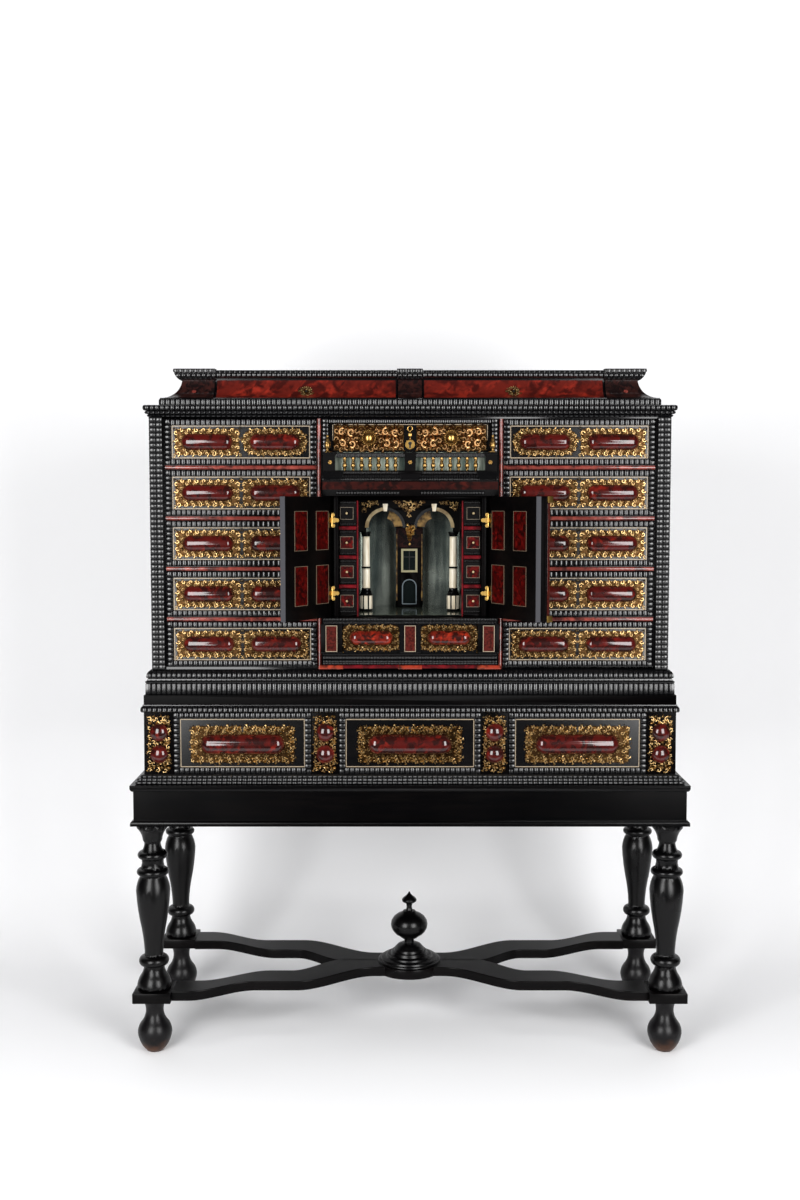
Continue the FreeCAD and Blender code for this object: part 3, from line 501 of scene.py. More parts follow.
# Mirror colours, mostly diffuse, for the upper mirror faces: a painted reflection.
palePane = cloudMaterial("palePane", (0.10, 0.14, 0.12), (0.52, 0.58, 0.48), (1.0,),
                         {"Roughness": 0.2, "Metallic": 0.2}, (90.0, 60.0, 12.0))
string = cloudMaterial("string", (0.40, 0.31, 0.20), (0.18, 0.14, 0.10), (30.0,),
                       {"Roughness": 0.4}, edges=None)
stringDim = cloudMaterial("stringDim", (0.20, 0.155, 0.10), (0.09, 0.07, 0.05), (30.0,),
                          {"Roughness": 0.4}, edges=None)
paleFrame = plainMaterial("paleFrame", (0.40, 0.36, 0.20), 0.4)
paleBlue = plainMaterial("paleBlue", (0.24, 0.30, 0.34), 0.35)
glassDark = plainMaterial("glassDark", (0.006, 0.010, 0.010), 0.12)
# Grey for the doors' free edges: a painted reflection of the light on the edge.
edgeGrey = plainMaterial("edgeGrey", (0.055, 0.055, 0.062), 0.3)
# keyBlack: the real black of the window bars, and painted shade for the keyholes.
keyBlack = plainMaterial("keyBlack", (0.004, 0.004, 0.004), 0.7)

mirror, shader, place = newMaterial("mirror", {"Metallic": 0.75})
cloud = place.noise(14.0, 4.0)
streak = place.stretched(60.0, 60.0, 5.0).noise(1.0, 4.0) * 0.7 + cloud * 0.3
streak.step(0.35, 0.68).mixed((0.10, 0.13, 0.122), (0.52, 0.57, 0.50)).feed(shader, "Base Color")
(cloud * 0.3 + 0.08).feed(shader, "Roughness")

wornEbony, shader, place = newMaterial("wornEbony", {"Roughness": 0.35, "Specular IOR Level": 0.25})
height = place.via("ShaderNodeSeparateXYZ", {"Vector": place}, "Z")
wear = (place.noise(40.0, 4.0) * 0.05 - height + 0.010).step(0.0, 0.034)  # brown only low on the foot
wear.mixed((0.003, 0.0025, 0.003), (0.07, 0.028, 0.013)).feed(shader, "Base Color")

chequer, shader, place = newMaterial("chequer", {"Roughness": 0.14})
tiles = place.via("ShaderNodeTexChecker", {"Vector": place, "Scale": 62.0}, "Fac")
tiles = tiles * 0.75 + place.noise(26.0) * 0.25
tiles.mixed((0.012, 0.018, 0.014), (0.10, 0.12, 0.09)).feed(shader, "Base Color")
print("materials made")

# Stand: turned feet, legs and finial, wavy stretcher, apron
standIn("feet", wornEbony, angle=30)
standIn("legs", ebonyLeg, angle=30)
stretcher = {"middle": 0.0625, "leg": (0.601, 0.1925), "block": 0.0445, "low": 0.125, "high": 0.148,
             "disc": 0.081, "ends": (0.558, 0.02), "steps": 60,
             "near": ((0.52, 0.37, 0.2175, 0.1510), (0.27, 0.085, 0.1510, 0.0545)),
             "far": ((0.50, 0.34, 0.1435, 0.0745), (0.285, 0.165, 0.0745, -0.004))}


def eased(x, bends):
    value = bends[0][2]
    for start, end, before, after in bends:
        t = min(max((start - x) / (start - end), 0.0), 1.0)
        value += (after - before) * t * t * (3 - 2 * t)
    return value


def stretcherArm(signX, signY):
    start, end = stretcher["ends"]

    def put(i, j):
        x = start + (end - start) * i / stretcher["steps"]
        out = eased(x, stretcher["far" if j in (2, 3) else "near"])
        return signX * x, stretcher["middle"] + signY * out, stretcher["high" if j in (1, 2) else "low"]

    return cleaned(gridPiece("arm", stretcher["steps"] + 1, 5, put))


def lathePiece(name, place, low, profile, columns=56):
    def put(i, j):
        up, radius = profile[j]
        angle = 2 * pi * i / columns
        out = radius / 1000
        return place[0] + out * math.cos(angle), place[1] + out * math.sin(angle), low + up / 1000

    return cleaned(gridPiece(name, columns + 1, len(profile), put), 32)


boardLow, boardHigh, half = stretcher["low"], stretcher["high"], stretcher["block"]
discTop = boardHigh + 0.0003
pieces = [uprightPiece("disc", (0, stretcher["middle"]), boardLow, discTop, stretcher["disc"], 72)]
for signX in (-1, 1):
    for signY in (-1, 1):
        x, y = signX * stretcher["leg"][0], stretcher["middle"] + signY * stretcher["leg"][1]
        pieces.append(boxPiece("block", (x - half, y - half, boardLow),
                               (x + half, y + half, boardHigh + 0.001)))
        pieces.append(stretcherArm(signX, signY))
piece = smoothed(rounded(joined(pieces, "stretcherBoard"), 0.0018), 35)
settled(piece, ebonyDull)
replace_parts(piece, "stretcher")
finial = [(0, 0), (0, 75), (0.8, 76.4), (2.5, 77), (4.8, 76.4), (5.6, 75), (5.8, 70.5), (7.2, 70),
          (9.6, 69.2), (11, 67), (11.3, 58.5), (12.6, 57.6), (15.6, 56.6), (17.6, 54), (18, 46), (19.4, 45.4),
          (23, 44.6), (25.6, 42.6), (26, 38.4), (28, 37.8), (31, 37), (33, 35), (36, 32.4), (39.8, 28.6),
          (42.4, 23), (43.2, 15), (45.8, 12.8), (51.8, 12), (57.4, 13.6), (58.2, 20.5), (60.3, 22.5),
          (62, 25), (63.8, 27.4), (67.6, 33.4), (74, 39.6), (82.3, 44), (91.5, 45.6), (100.6, 44),
          (109.6, 38.2), (116.3, 29.4), (120.6, 20), (122.8, 17), (125.4, 15), (126, 9.4), (128, 8),
          (134.4, 6.6), (140.8, 7.4), (145, 9), (146, 13), (149.4, 17.4), (152.8, 18.4), (156, 17), (159, 14),
          (164, 7.8), (168.6, 3.6), (173, 1.4), (174, 0)]
piece = settled(lathePiece("finial", (0, stretcher["middle"]), discTop, finial), ebonyLeg)
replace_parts(piece, "stretcher_finial")
standIn("stand_apron", ebonyStand, 0.0012)
print("stand made")

# Cases: boards kept, mouldings overlaid with ridges
edge = 0.00002
baseLow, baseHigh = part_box("base_case")
mainLow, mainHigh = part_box("main_case")
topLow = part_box("top_case")[0]
caseBack, mainHalf = mainHigh.y, mainHigh.x
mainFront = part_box("left_drawer_1")[0].y + 0.004
baseHalf, baseFront = baseHigh.x - 0.019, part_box("base_drawer_centre")[0].y + 0.002
stepHalf, stepFront = mainHalf - 0.022, mainFront + 0.019
neckHalf, neckFront = stepHalf - 0.045, stepFront + 0.045
capLow = topLow.z + 0.067
caseRidge, topRidge = 0.0042, 0.0036
standIn("base_case", ebonyShade, 0.0006,
        keep=lambda co: abs(co.x) < baseHalf + edge and co.y > baseFront - edge)
for node in ("main_case", "top_case", "centre_front", "inner_case"):
    standIn(node, ebonyShade if node in ("centre_front", "inner_case") else ebony, 0.0006)
waves = {
    "baseFoot": (baseHalf, baseFront, baseLow.z, caseRidge, [
        (15.6, 0, 0), (16.4, 1.4, 0.9), (16.6, 3, 1), (15.6, 5.8, 0.9), (12.2, 7, 0), (11.8, 8.2, 0.9),
        (11.6, 10, 1), (10, 12.8, 0.9), (6.8, 14, 0), (6, 15.4, 0.9), (5, 17.6, 1), (2.6, 20, 0.8),
        (0, 21, 0)]),
    "baseBand": (baseHalf, baseFront, baseHigh.z - 0.038, caseRidge, [
        (0, -1.6, 0), (3, -1, 0.6), (4, 1, 1), (4.2, 5, 1), (3.2, 9, 1), (1.2, 12.4, 0.7), (0.8, 13.4, 0),
        (2.2, 13.8, 0), (2.2, 16, 0), (0, 16.6, 0)]),
    "plinth": (mainHalf, mainFront, mainLow.z, caseRidge, [
        (10, 0, 0), (11, 0.8, 0.8), (11.2, 3, 1), (11.2, 14, 1), (11.2, 24.6, 1), (11, 26.4, 0.8),
        (10, 27.2, 0), (13.4, 27.6, 0), (13.4, 28.4, 0.4), (13.2, 30.4, 0.7), (12.4, 32, 0.3), (11, 33.6, 0),
        (10.4, 36.6, 0), (8.4, 38, 0), (8.6, 39.4, 0.8), (8.8, 43, 1), (7.8, 48, 1), (5, 53, 1),
        (2, 56.8, 0.7), (0, 58, 0)]),
    "cornice": (mainHalf, mainFront, mainHigh.z - 0.026, caseRidge, [
        (0, -0.6, 0), (0.6, 0, 0.7), (1.0, 2, 1), (0.8, 4.2, 0.7), (0.6, 5, 0), (3, 5.4, 0), (4, 6.4, 0.8),
        (4.8, 9, 1), (4.6, 12, 0.8), (4, 13, 0), (7.4, 13.4, 0), (8.6, 14.4, 0.8), (9.6, 17.4, 1),
        (10, 21.4, 1), (9.6, 24.8, 0.8), (9, 26.2, 0), (-2, 26.5, 0)]),
    "step": (stepHalf, stepFront, topLow.z, topRidge, [
        (0.2, 0, 0), (0.4, 0.8, 0.8), (0.4, 3, 1), (0.4, 12.8, 1), (0.4, 15, 0.8), (0.2, 16.2, 0),
        (-4, 16.4, 0)]),
    "cap": (neckHalf, neckFront, capLow, topRidge, [
        (3.2, -0.4, 0), (7, 0.6, 0.6), (10.6, 3, 1), (11.8, 6, 1), (12.2, 8.4, 0.8), (12.4, 9.2, 0),
        (13.4, 9.8, 0.7), (14, 13, 1), (13.6, 16.4, 0.7), (12.6, 17.3, 0)]),
}
for name, wave in waves.items():
    piece = rippleWrap(name + "Waves", *wave)
    settled(piece, ebonyPilaster if name == "baseFoot" else ebonyWave)
    if name == "plinth":
        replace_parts(piece, "case_mouldings")


def waveRow(name, x0, x1, y, z, points, depth, step, material=ebonyWave, body="cabinet"):
    piece = rippleRun(name, x1 - x0, points, depth, step, lambda s, out, up: (x0 + s, y - out, z + up))
    settled(piece, material, body)


def waveColumn(name, sign, x, y, z, length, points, depth, step, material=ebonyWave):
    piece = rippleRun(name, length, points, depth, step, lambda s, out, up: (sign * (x + up), y - out, z + s))
    settled(piece, material)


pilaster = {"x": 0.565, "y": mainFront - 0.006, "low": mainLow.z + 0.0585, "high": mainHigh.z - 0.0265,
            "ridges": (0.0038, 0.0115), "points": [
    (0.1, 0, 0), (0.3, 0.8, 0.7), (0.8, 3.5, 1), (0.8, 10.5, 1), (0.3, 14, 0.7), (0.1, 15, 0), (0.3, 16, 0.7),
    (0.8, 19.5, 1), (0.8, 26.5, 1), (0.3, 29.2, 0.7), (0.1, 30, 0)]}
for sign, side in hands:
    waveColumn(side + "PilasterWaves", sign, pilaster["x"], pilaster["y"], pilaster["low"],
               pilaster["high"] - pilaster["low"], pilaster["points"], *pilaster["ridges"], ebonyPilaster)
print("cases made")

# Side and base drawers: ridged frames, string lines, cushions
drawer = {"panel": 0.006, "inset": 0.0148, "string": (0.0018, 0.0005), "ridge": 0.0036, "strip": [
    (0, 0, 0), (0.2, 2.0, 0.5), (1.2, 2.9, 0.9), (3.6, 3.2, 1), (7, 3.3, 1), (10.4, 3.2, 1), (12.8, 2.9, 0.9),
    (13.8, 2.0, 0.5), (14.2, 0, 0)]}
bays = ("left", "centre", "right")
drawerNames = [side + "_drawer_" + str(row) for row in range(1, 6) for sign, side in hands]
drawerNames += ["base_drawer_" + name for name in bays]
for name in drawerNames:
    low, high, middle = boxOf(name)
    half = (high - low) / 2
    panel = low.y + drawer["panel"]
    standIn(name, ebony, keep=lambda co: co.y > panel - edge)
    settled(rippleFrame(name + "Waves", low, high, panel, drawer["strip"], drawer["ridge"]), ebonyWave, name)
    line = borderPiece(name + "String", middle.x, middle.z, half.x - drawer["inset"],
                       half.z - drawer["inset"], panel, *drawer["string"])
    settled(line, string, name)
cushion = {"pitch": 0.0775, "longer": 0.0085, "taller": 1.08, "base": (1.04, 1.14), "boss": 1.2,
           "bossRows": 0.0255}
for name in [n for n in nodes if "cushion" in n]:
    piece = standIn(name, shellBright if name.startswith("plinth") else shell, angle=30)
    middle = boxOf(name)[2]
    for vertex in piece.data.vertices:
        co = vertex.co
        if "cushions_" in name:
            x = middle.x + math.copysign(cushion["pitch"], co.x - middle.x)
            co.x += math.copysign(cushion["longer"], co.x - x)
            swell(co, x, middle.z, 1, cushion["taller"])
        elif name.startswith("base"):
            swell(co, middle.x, middle.z, *cushion["base"])
bosses = standIn("base_bosses", shell, angle=30)
bossPlaces = (-0.5785, -0.1955, 0.1955, 0.5785)
middle = boxOf("base_bosses")[2]
for vertex in bosses.data.vertices:
    x = min(bossPlaces, key=lambda place: abs(place - vertex.co.x))
    z = middle.z + math.copysign(cushion["bossRows"], vertex.co.z - middle.z)
    swell(vertex.co, x, z, cushion["boss"], cushion["boss"])
print("drawers made")

# Gilt mounts: a scroll and a spray at two weights, copied into each pierced plate, the plate to each place;
# the low parts and a dark sheet under the lace are painted shade
scroll = {"turns": 0.86, "thick": 0.27, "steps": 11, "leaves": (0.06, 0.26, 0.46, 0.66), "leafLength": 0.86}
weights = {"fine": 0.66, "bold": 1.15}


def cordPiece(points, radii, steps=3):
    points = [Vector(point) for point in points]
    last = len(points) - 1

    def put(i, j):
        ahead = points[min(i + 1, last)] - points[max(i - 1, 0)]
        across = ahead.cross(Vector((0, 1, 0))).normalized()
        angle = pi * j / steps
        out = Vector((0, 1.3 * radii[i] * math.sin(angle), 0))
        return points[i] + across * (radii[i] * math.cos(angle)) - out

    return gridPiece("cord", len(points), steps + 1, put)


def leafPiece(start, way, bend, hump, radii):
    points = []
    for t in (0, 1 / 3, 2 / 3, 1):
        points.append(start + way * t + bend * t ** 2 - Vector((0, hump * math.sin(pi * t), 0)))
    return cordPiece(points, radii, 2)


def scrollUnit(weight):
    def spot(t):
        angle = -pi / 2 + scroll["turns"] * 2 * pi * t
        reach = 1 - 0.74 * t
        return Vector((reach * math.cos(angle), -0.16 - 0.12 * t, reach * math.sin(angle)))

    steps = scroll["steps"]
    radii = [0.04] + [weight * scroll["thick"] * (1 - 0.3 * k / steps) for k in range(1, steps)] + [0.1]
    pieces = [cordPiece([spot(k / steps) for k in range(steps + 1)], radii)]
    for t in scroll["leaves"]:
        start = spot(t)
        ahead = (spot(t + 0.02) - start).normalized()
        out = Vector((start.x, 0, start.z)).normalized()
        way = (out * 0.75 + ahead * 0.65).normalized()
        size = scroll["leafLength"] * (1 - 0.35 * t)
        bend = Vector((way.z, 0, -way.x)) * -0.25
        radii = (weight * 0.10, weight * 0.30, weight * 0.26, 0.02)
        pieces.append(leafPiece(start, way * size, bend, 0.1, radii))
    pieces.append(ballPiece("bud", (spot(1).x * 0.4, -0.22, spot(1).z * 0.4), (0.25, 0.25, 0.25), 6, 3))
    return cleaned(joined(pieces, "scrollUnit"), 60, 0.001)


def sprayUnit(weight):
    pieces = [ballPiece("bud", (0, -0.2, -0.25), (0.26, 0.28, 0.26), 6, 3)]
    for turn in (-1.25, -0.62, 0.0, 0.62, 1.25):
        way = Vector((math.sin(turn), 0, math.cos(turn)))
        bend = Vector((way.z, 0, -way.x)) * (0.3 * turn)
        way *= 1.15 - 0.2 * abs(turn)
        radii = (weight * 0.10, weight * 0.27, weight * 0.25, 0.02)
        pieces.append(leafPiece(Vector((0, -0.12, -0.2)), way, bend, 0.0, radii))
    for turn in (-1, 1):
        curl = [(turn * (0.1 + 0.75 * math.sin(a)), -0.14, -0.3 - 0.5 * (1 - math.cos(a)))
                for a in (0, 1.0, 2.0, 3.0)]
        pieces.append(cordPiece(curl, (weight * 0.08, weight * 0.19, weight * 0.18, 0.06), 2))
    return cleaned(joined(pieces, "sprayUnit"), 60, 0.001)


# Dark sheet under the lace of a mount: at height 0 it takes the gilt's dark colour, painted shade filling the
# gaps between the strokes.
def groundPiece(halfX, halfZ, radius):
    obj = discPiece("ground", 0, -0.0003, 0, 0, 1.0, 48)
    for vertex in obj.data.vertices:
        vertex.co.x = math.copysign(halfX - radius, vertex.co.x) + radius * vertex.co.x
        vertex.co.z = math.copysign(halfZ - radius, vertex.co.z) + radius * vertex.co.z
    return obj


def platePiece(name, spots, weight="fine", relief=1.0, ground=None):
    pieces = []
    for number, (x, z, size, angle, flip, *kind) in enumerate(spots):
        unit = units[weight][kind[0] if kind else number % 2]  # scroll or spray
        turn = Matrix.Rotation(angle, 4, "Y") @ Matrix.Diagonal((size, size, size * flip, 1))
        pieces.append(copied(unit, Matrix.Translation((x, 0, z)) @ turn))
    # The optional sheet under the lace is painted shade.
    if ground:
        pieces.append(groundPiece(*ground))
    plate = joined(pieces, name)
    plate.data.transform(Matrix.Diagonal((1, relief, 1, 1)))
    heights = [-vertex.co.y for vertex in plate.data.vertices]
    top = max(heights)
    layer = plate.data.attributes.new("height", "FLOAT", "POINT")
    layer.data.foreach_set("value", [height / top for height in heights])
    return plate


def loopSpots(halfX, halfZ, radius, count, size):
    flatX, flatZ = 2 * (halfX - radius), 2 * (halfZ - radius)
    arc = pi / 2 * radius
    sides = ((flatX, -halfX + radius, halfZ, 0.0), (flatZ, halfX, halfZ - radius, pi / 2),
             (flatX, halfX - radius, -halfZ, pi), (flatZ, -halfX, -halfZ + radius, 1.5 * pi))
    total = 2 * flatX + 2 * flatZ + 4 * arc
    spots = []
    for number in range(count):
        s = total * (number + 0.5) / count
        for length, x, z, angle in sides:
            ahead = Vector((math.cos(angle), -math.sin(angle)))
            if s < length:
                spot = Vector((x, z)) + ahead * s
                break
            s -= length
            if s < arc:
                inward = Vector((-math.sin(angle), -math.cos(angle)))
                centre = Vector((x, z)) + ahead * length + inward * radius
                bend = s / radius
                spot = centre - inward * (radius * math.cos(bend)) + ahead * (radius * math.sin(bend))
                angle += bend
                break
            s -= arc
        flip = 1 if number % 4 < 2 else -1
        spots.append((*spot, size * chance.uniform(0.92, 1.08), angle + chance.uniform(-0.25, 0.25), flip))
    return spots


def gridSpots(columns, rows, stepX, stepZ, size, clear):
    spots = []
    for i in range(columns):
        for j in range(rows):
            x = (i - (columns - 1) / 2) * stepX
            z = (j - (rows - 1) / 2) * stepZ + (stepZ / 2 if i % 2 else 0) - stepZ / 4
            if clear(x, z):
                flip = 1 if x > 0 else -1
                spots.append((x, z, size * chance.uniform(0.92, 1.1), chance.uniform(0, 2 * pi), flip))
    return spots


def cornerSpots(x, z, size):
    return [(sx * x, sz * z, size, math.atan2(sx, sz), sx * sz) for sx in (-1, 1) for sz in (-1, 1)]


def plaqueSpots():
    spots = gridSpots(14, 6, 0.0112, 0.0094, 0.0066, lambda x, z: math.hypot(x / 0.020, z / 0.021) > 1)
    for angle in [k * pi / 5 for k in range(10)]:
        spots.append((0.0232 * math.sin(angle), 0.0222 * math.cos(angle), 0.0056, angle, 1, 1))
    for sx in (-1, 1):
        for x, size in ((0.0725, 0.0072), (0.0490, 0.0064), (0.0330, 0.0056)):
            spots.append((sx * x, 0, size, sx * pi / 2, 1, 1))
        for sz in (-1, 1):
            turn = 0 if sz > 0 else pi
            hand = sx * sz
            spots += [(sx * 0.0395, sz * 0.0135, 0.0104, turn + hand * 0.5, hand, 0),
                      (sx * 0.0605, sz * 0.0130, 0.0098, turn - hand * 0.7, -hand, 0),
                      (sx * 0.0735, sz * 0.0205, 0.0062, math.atan2(sx, sz), 1, 1),
                      (sx * 0.0500, sz * 0.0220, 0.0060, turn, 1, 1),
                      (sx * 0.0290, sz * 0.0225, 0.0054, turn, 1, 1)]
    return spots


def clearOfBosses(x, z):
    return min(math.hypot(x, z - cushion["bossRows"]), math.hypot(x, z + cushion["bossRows"])) > 0.0205


units = {name: (scrollUnit(weight), sprayUnit(weight)) for name, weight in weights.items()}
# For the first four mounts the last entry sizes the sheet of painted shade under the lace (half width, half
# height, corner radius).
mounts = {
    "square": (loopSpots(0.0622, 0.0214, 0.0214, 36, 0.0042) + loopSpots(0.0704, 0.0272, 0.008, 46, 0.0058)
               + cornerSpots(0.0750, 0.0304, 0.0044), "fine", 1.0, (0.0735, 0.0300, 0.006)),
    "round": (loopSpots(0.0622, 0.0214, 0.0214, 36, 0.0042) + loopSpots(0.0702, 0.0272, 0.0250, 44, 0.0058),
              "fine", 1.0, (0.0730, 0.0296, 0.026)),
    "plinth": (loopSpots(0.0542, 0.0207, 0.0207, 32, 0.0042) + loopSpots(0.0618, 0.0262, 0.012, 42, 0.0057)
               + cornerSpots(0.0672, 0.0310, 0.0044), "fine", 1.0, (0.0650, 0.0290, 0.010)),
    "base": (loopSpots(0.0985, 0.0262, 0.0262, 46, 0.0044) + loopSpots(0.1070, 0.0322, 0.016, 50, 0.0057)
             + loopSpots(0.1168, 0.0396, 0.008, 56, 0.0063)
              + [(sx * 0.1110, z, 0.0048, 0.5 * sx, sx) for sx in (-1, 1)
                for z in (-0.0225, -0.0115, 0, 0.0115, 0.0225)],
             "fine", 1.0, (0.1195, 0.0425, 0.006)),
    "pilaster": (gridSpots(6, 13, 0.0086, 0.0099, 0.0058, clearOfBosses),),
    "plaque": (plaqueSpots(), "bold", 1.5),
    "escutcheon": (loopSpots(0.012, 0.011, 0.011, 9, 0.0058) + [(0, 0.019, 0.0062, 0, 1),
                                                                (0, -0.017, 0.005, pi, 1)],),
}
plates = {name: platePiece(name + "Mount", *mount) for name, mount in mounts.items()}


def hungPlate(kind, name, x, y, z, body="cabinet", flip=1, material=gilt):
    matrix = Matrix.Translation((x, y, z)) @ Matrix.Diagonal((flip, 1, 1, 1))
    return settled(copied(plates[kind], matrix, name), material, body)


for row in range(1, 6):
    for sign, side in hands:
        name = side + "_drawer_" + str(row)
        low, high, middle = boxOf(name)
        for step, tag in ((-1, "A"), (1, "B")):
            kind = "round" if row == 1 and step == -sign else "square"
            x = middle.x + step * cushion["pitch"]
            hungPlate(kind, name + "Mount" + tag, x, low.y + drawer["panel"], middle.z, name, step)
for name in bays:
    low, high, middle = boxOf("base_cushion_" + name)
    hungPlate("base", "base" + name.title() + "Mount", middle.x, high.y, middle.z, "base_drawer_" + name)
low, high, middle = boxOf("plinth_cushions")
for sign, side in hands:
    x = sign * (high.x - 0.0495)
    hungPlate("plinth", "plinthMount" + side.title(), x, high.y, middle.z, "plinth_drawer", sign)
low, high, middle = boxOf("base_bosses")
for number, x in enumerate(bossPlaces):
    hungPlate("pilaster", "pilasterMount" + str(number), x, high.y, middle.z)
print("mounts made")


# Red rails, strips and keyholes among the side drawers
def redBar(name, x0, x1, y, z, radius, flatten, material):
    settled(beadRun(name, (x0, y, z), (x1, y, z), radius, flatten), material)


def keyhole(name, x, y, z, size, body, plated=True):
    if plated:
        settled(rounded(discPiece(name + "Plate", x, y - 0.0012, y, z, size), 0.0004), giltPlain, body)
    # The hole is a flat black disc and slit laid on the front: painted shade where the opening would be dark.
    front, back = y - 0.0018, y - 0.0008
    hole = discPiece("hole", x, front, back, z + size * 0.25, size * 0.36, 14)
    slit = boxPiece("slit", (x - size * 0.18, front, z - size * 0.75),
                    (x + size * 0.18, back, z + size * 0.2))
    settled(joined([hole, slit], name + "Hole"), keyBlack, body)


rail = {"section": (0.0046, 0.0042), "low": 1.01925, "step": 0.116, "ends": (0.2137, 0.5595)}
upright = {"x": 0.2079, "low": 0.9035, "high": 1.478, "section": (0.0043, 0.004)}
key = {"up": 0.006, "plate": 0.0044, "size": 0.0056, "baseZ": 0.7665, "baseSize": 0.0085}
for sign, side in hands:
    for row in range(4):
        redBar(side + "Rail" + str(row), *between(sign, *rail["ends"]), mainFront,
               rail["low"] + row * rail["step"], *rail["section"], redEdge)
    ends = [(sign * upright["x"], mainFront, upright[end]) for end in ("low", "high")]
    settled(beadRun(side + "UprightStrip", *ends, *upright["section"]), redEdge)
    for row in range(1, 6):
        name = side + "_drawer_" + str(row)
        low, high, middle = boxOf(name)
        z = middle.z + key["up"]
        plate = discPiece(name + "KeyPlate", middle.x, low.y + 0.0050, low.y + drawer["panel"], z,
                          key["plate"])
        settled(plate, giltDark, name)
        keyhole(name + "Key", middle.x, low.y + 0.0058, z, key["size"], name, False)
for name in bays:
    low, high, middle = boxOf("base_drawer_" + name)
    keyhole("base" + name.title() + "Key", middle.x, low.y + 0.0046, key["baseZ"], key["baseSize"],
            "base_drawer_" + name, False)
print("rails made")

# Centre above the doors: plaques, gallery, cornice, red frieze
standIn("frieze_drawer", ebony, keep=lambda co: co.y > mainFront - edge)
plaque = {"x": 0.094, "z": 1.43425, "ground": (0.079, 0.028), "boss": (0.0105, 0.0075, 0.0125),
          "ring": (0.0148, 0.0172), "beads": 22, "bead": (0.0019,) * 3}
for sign, side in hands:
    x, z = sign * plaque["x"], plaque["z"]
    ground = slabPiece(side + "PlaqueGround", x, z, *plaque["ground"], mainFront - 0.0008, mainFront)
    settled(ground, giltDark, "frieze_drawer")
    hungPlate("plaque", side + "Plaque", x, mainFront - 0.0006, z, "frieze_drawer", sign, giltRelief)
    parts = [ballPiece("boss", (x, mainFront - 0.004, z), plaque["boss"], 20, 12)]
    for angle in [2 * pi * k / plaque["beads"] for k in range(plaque["beads"])]:
        spot = (x + plaque["ring"][0] * math.cos(angle), mainFront - 0.006,
                z + plaque["ring"][1] * math.sin(angle))
        parts.append(ballPiece("bead", spot, plaque["bead"], 6, 4))
    settled(joined(parts, side + "PlaqueBoss"), giltBrown, "frieze_drawer")
lines = [boxPiece("line", (x0, mainFront - 0.0004, z0), (x1, mainFront, z1)) for x0, x1, z0, z1 in (
    (-0.174, 0.174, 1.4642, 1.4654), (-0.1771, -0.1759, 1.428, 1.4642), (0.1759, 0.1771, 1.428, 1.4642))]
settled(joined(lines, "friezeString"), string, "frieze_drawer")
pendant = {"hoop": (0.0055, 0.0016), "hoopZ": 1.4560, "drop": (0.0056, 0.0035, 0.0072), "dropZ": 1.4415,
           "link": (0.0024,) * 3, "links": (1.4490, 1.4332), "stud": (0.0016,) * 3, "ring": 0.0105,
           "keyZ": 1.4195}
bpy.ops.mesh.primitive_torus_add(major_radius=pendant["hoop"][0], minor_radius=pendant["hoop"][1],
                                 major_segments=20, minor_segments=8)
upright = Matrix.Rotation(pi / 2, 4, "X")
hoop = made("hoop", Matrix.Translation((0, mainFront - 0.0016, pendant["hoopZ"])) @ upright)
bpy.ops.object.shade_smooth()
parts = [hoop, ballPiece("drop", (0, mainFront - 0.001, pendant["dropZ"]), pendant["drop"], 14, 8)]
parts += [ballPiece("link", (0, mainFront - 0.001, z), pendant["link"], 8, 6) for z in pendant["links"]]
for angle in [k * pi / 8 for k in range(16)]:
    x, z = pendant["ring"] * math.cos(angle), pendant["keyZ"] + pendant["ring"] * math.sin(angle)
    parts.append(ballPiece("stud", (x, mainFront - 0.0012, z), pendant["stud"], 6, 4))
settled(joined(parts, "friezePendant"), giltBrown, "frieze_drawer")
keyhole("friezeKey", 0, mainFront, pendant["keyZ"], 0.0112, "frieze_drawer")

frieze = {"half": 0.186, "railZ": 1.4672, "stripZ": 1.4015, "stripTall": 0.0765, "ridges": (0.002, 0.0098),
          "rail": [(0, 0, 0), (0.2, 0.5, 0.7), (0.6, 2, 1), (0.6, 8.4, 1), (0.2, 10, 0.7), (0, 10.5, 0)],
          "strip": [(0, 0, 0), (0.4, 1.2, 0.8), (0.8, 4, 1), (0.8, 9, 1), (0.4, 11.8, 0.8), (0, 13, 0)]}
waveRow("friezeRailWaves", -frieze["half"], frieze["half"], mainFront - 0.0004, frieze["railZ"],
        frieze["rail"], *frieze["ridges"])
for sign, side in hands:
    waveColumn(side + "FriezeStripWaves", sign, frieze["half"], mainFront - 0.006, frieze["stripZ"],
               frieze["stripTall"], frieze["strip"], *frieze["ridges"])

axis = mainFront - 0.030
bay = {"first": 0.03713, "step": 0.020625, "newFirst": 0.0330, "newStep": 0.0192, "end": 0.187, "wider": 1.4,
       "inward": 1.9, "fatter": 1.3, "low": 1.3605, "high": 1.3925, "gilt": (0.0108, 0.1765), "urns": 1.4008,
       "middle": 0.0115, "endFrom": 0.1755, "endTop": 1.4006, "last": 0.168}
gallery = standIn("gallery", ebonyDull, angle=30)
paintFaces(gallery, giltDim, lambda co: co.z > bay["urns"] or (
    bay["low"] < co.z < bay["high"] and bay["gilt"][0] < abs(co.x) < bay["gilt"][1]))
for vertex in gallery.data.vertices:
    co = vertex.co
    sign, far = math.copysign(1, co.x), abs(co.x)
    if far < bay["middle"]:
        co.x *= bay["wider"]
    elif bay["endFrom"] < far < bay["end"] and co.z < bay["endTop"]:
        co.x = sign * (bay["end"] + (far - bay["end"]) * bay["inward"])
    elif far < bay["last"]:
        number = round((far - bay["first"]) / bay["step"])
        co.x += sign * (bay["newFirst"] - bay["first"] + number * (bay["newStep"] - bay["step"]))
        if bay["low"] < co.z < bay["high"]:
            spot = sign * (bay["newFirst"] + number * bay["newStep"])
            co.x = spot + (co.x - spot) * bay["fatter"]
            co.y = axis + (co.y - axis) * bay["fatter"]
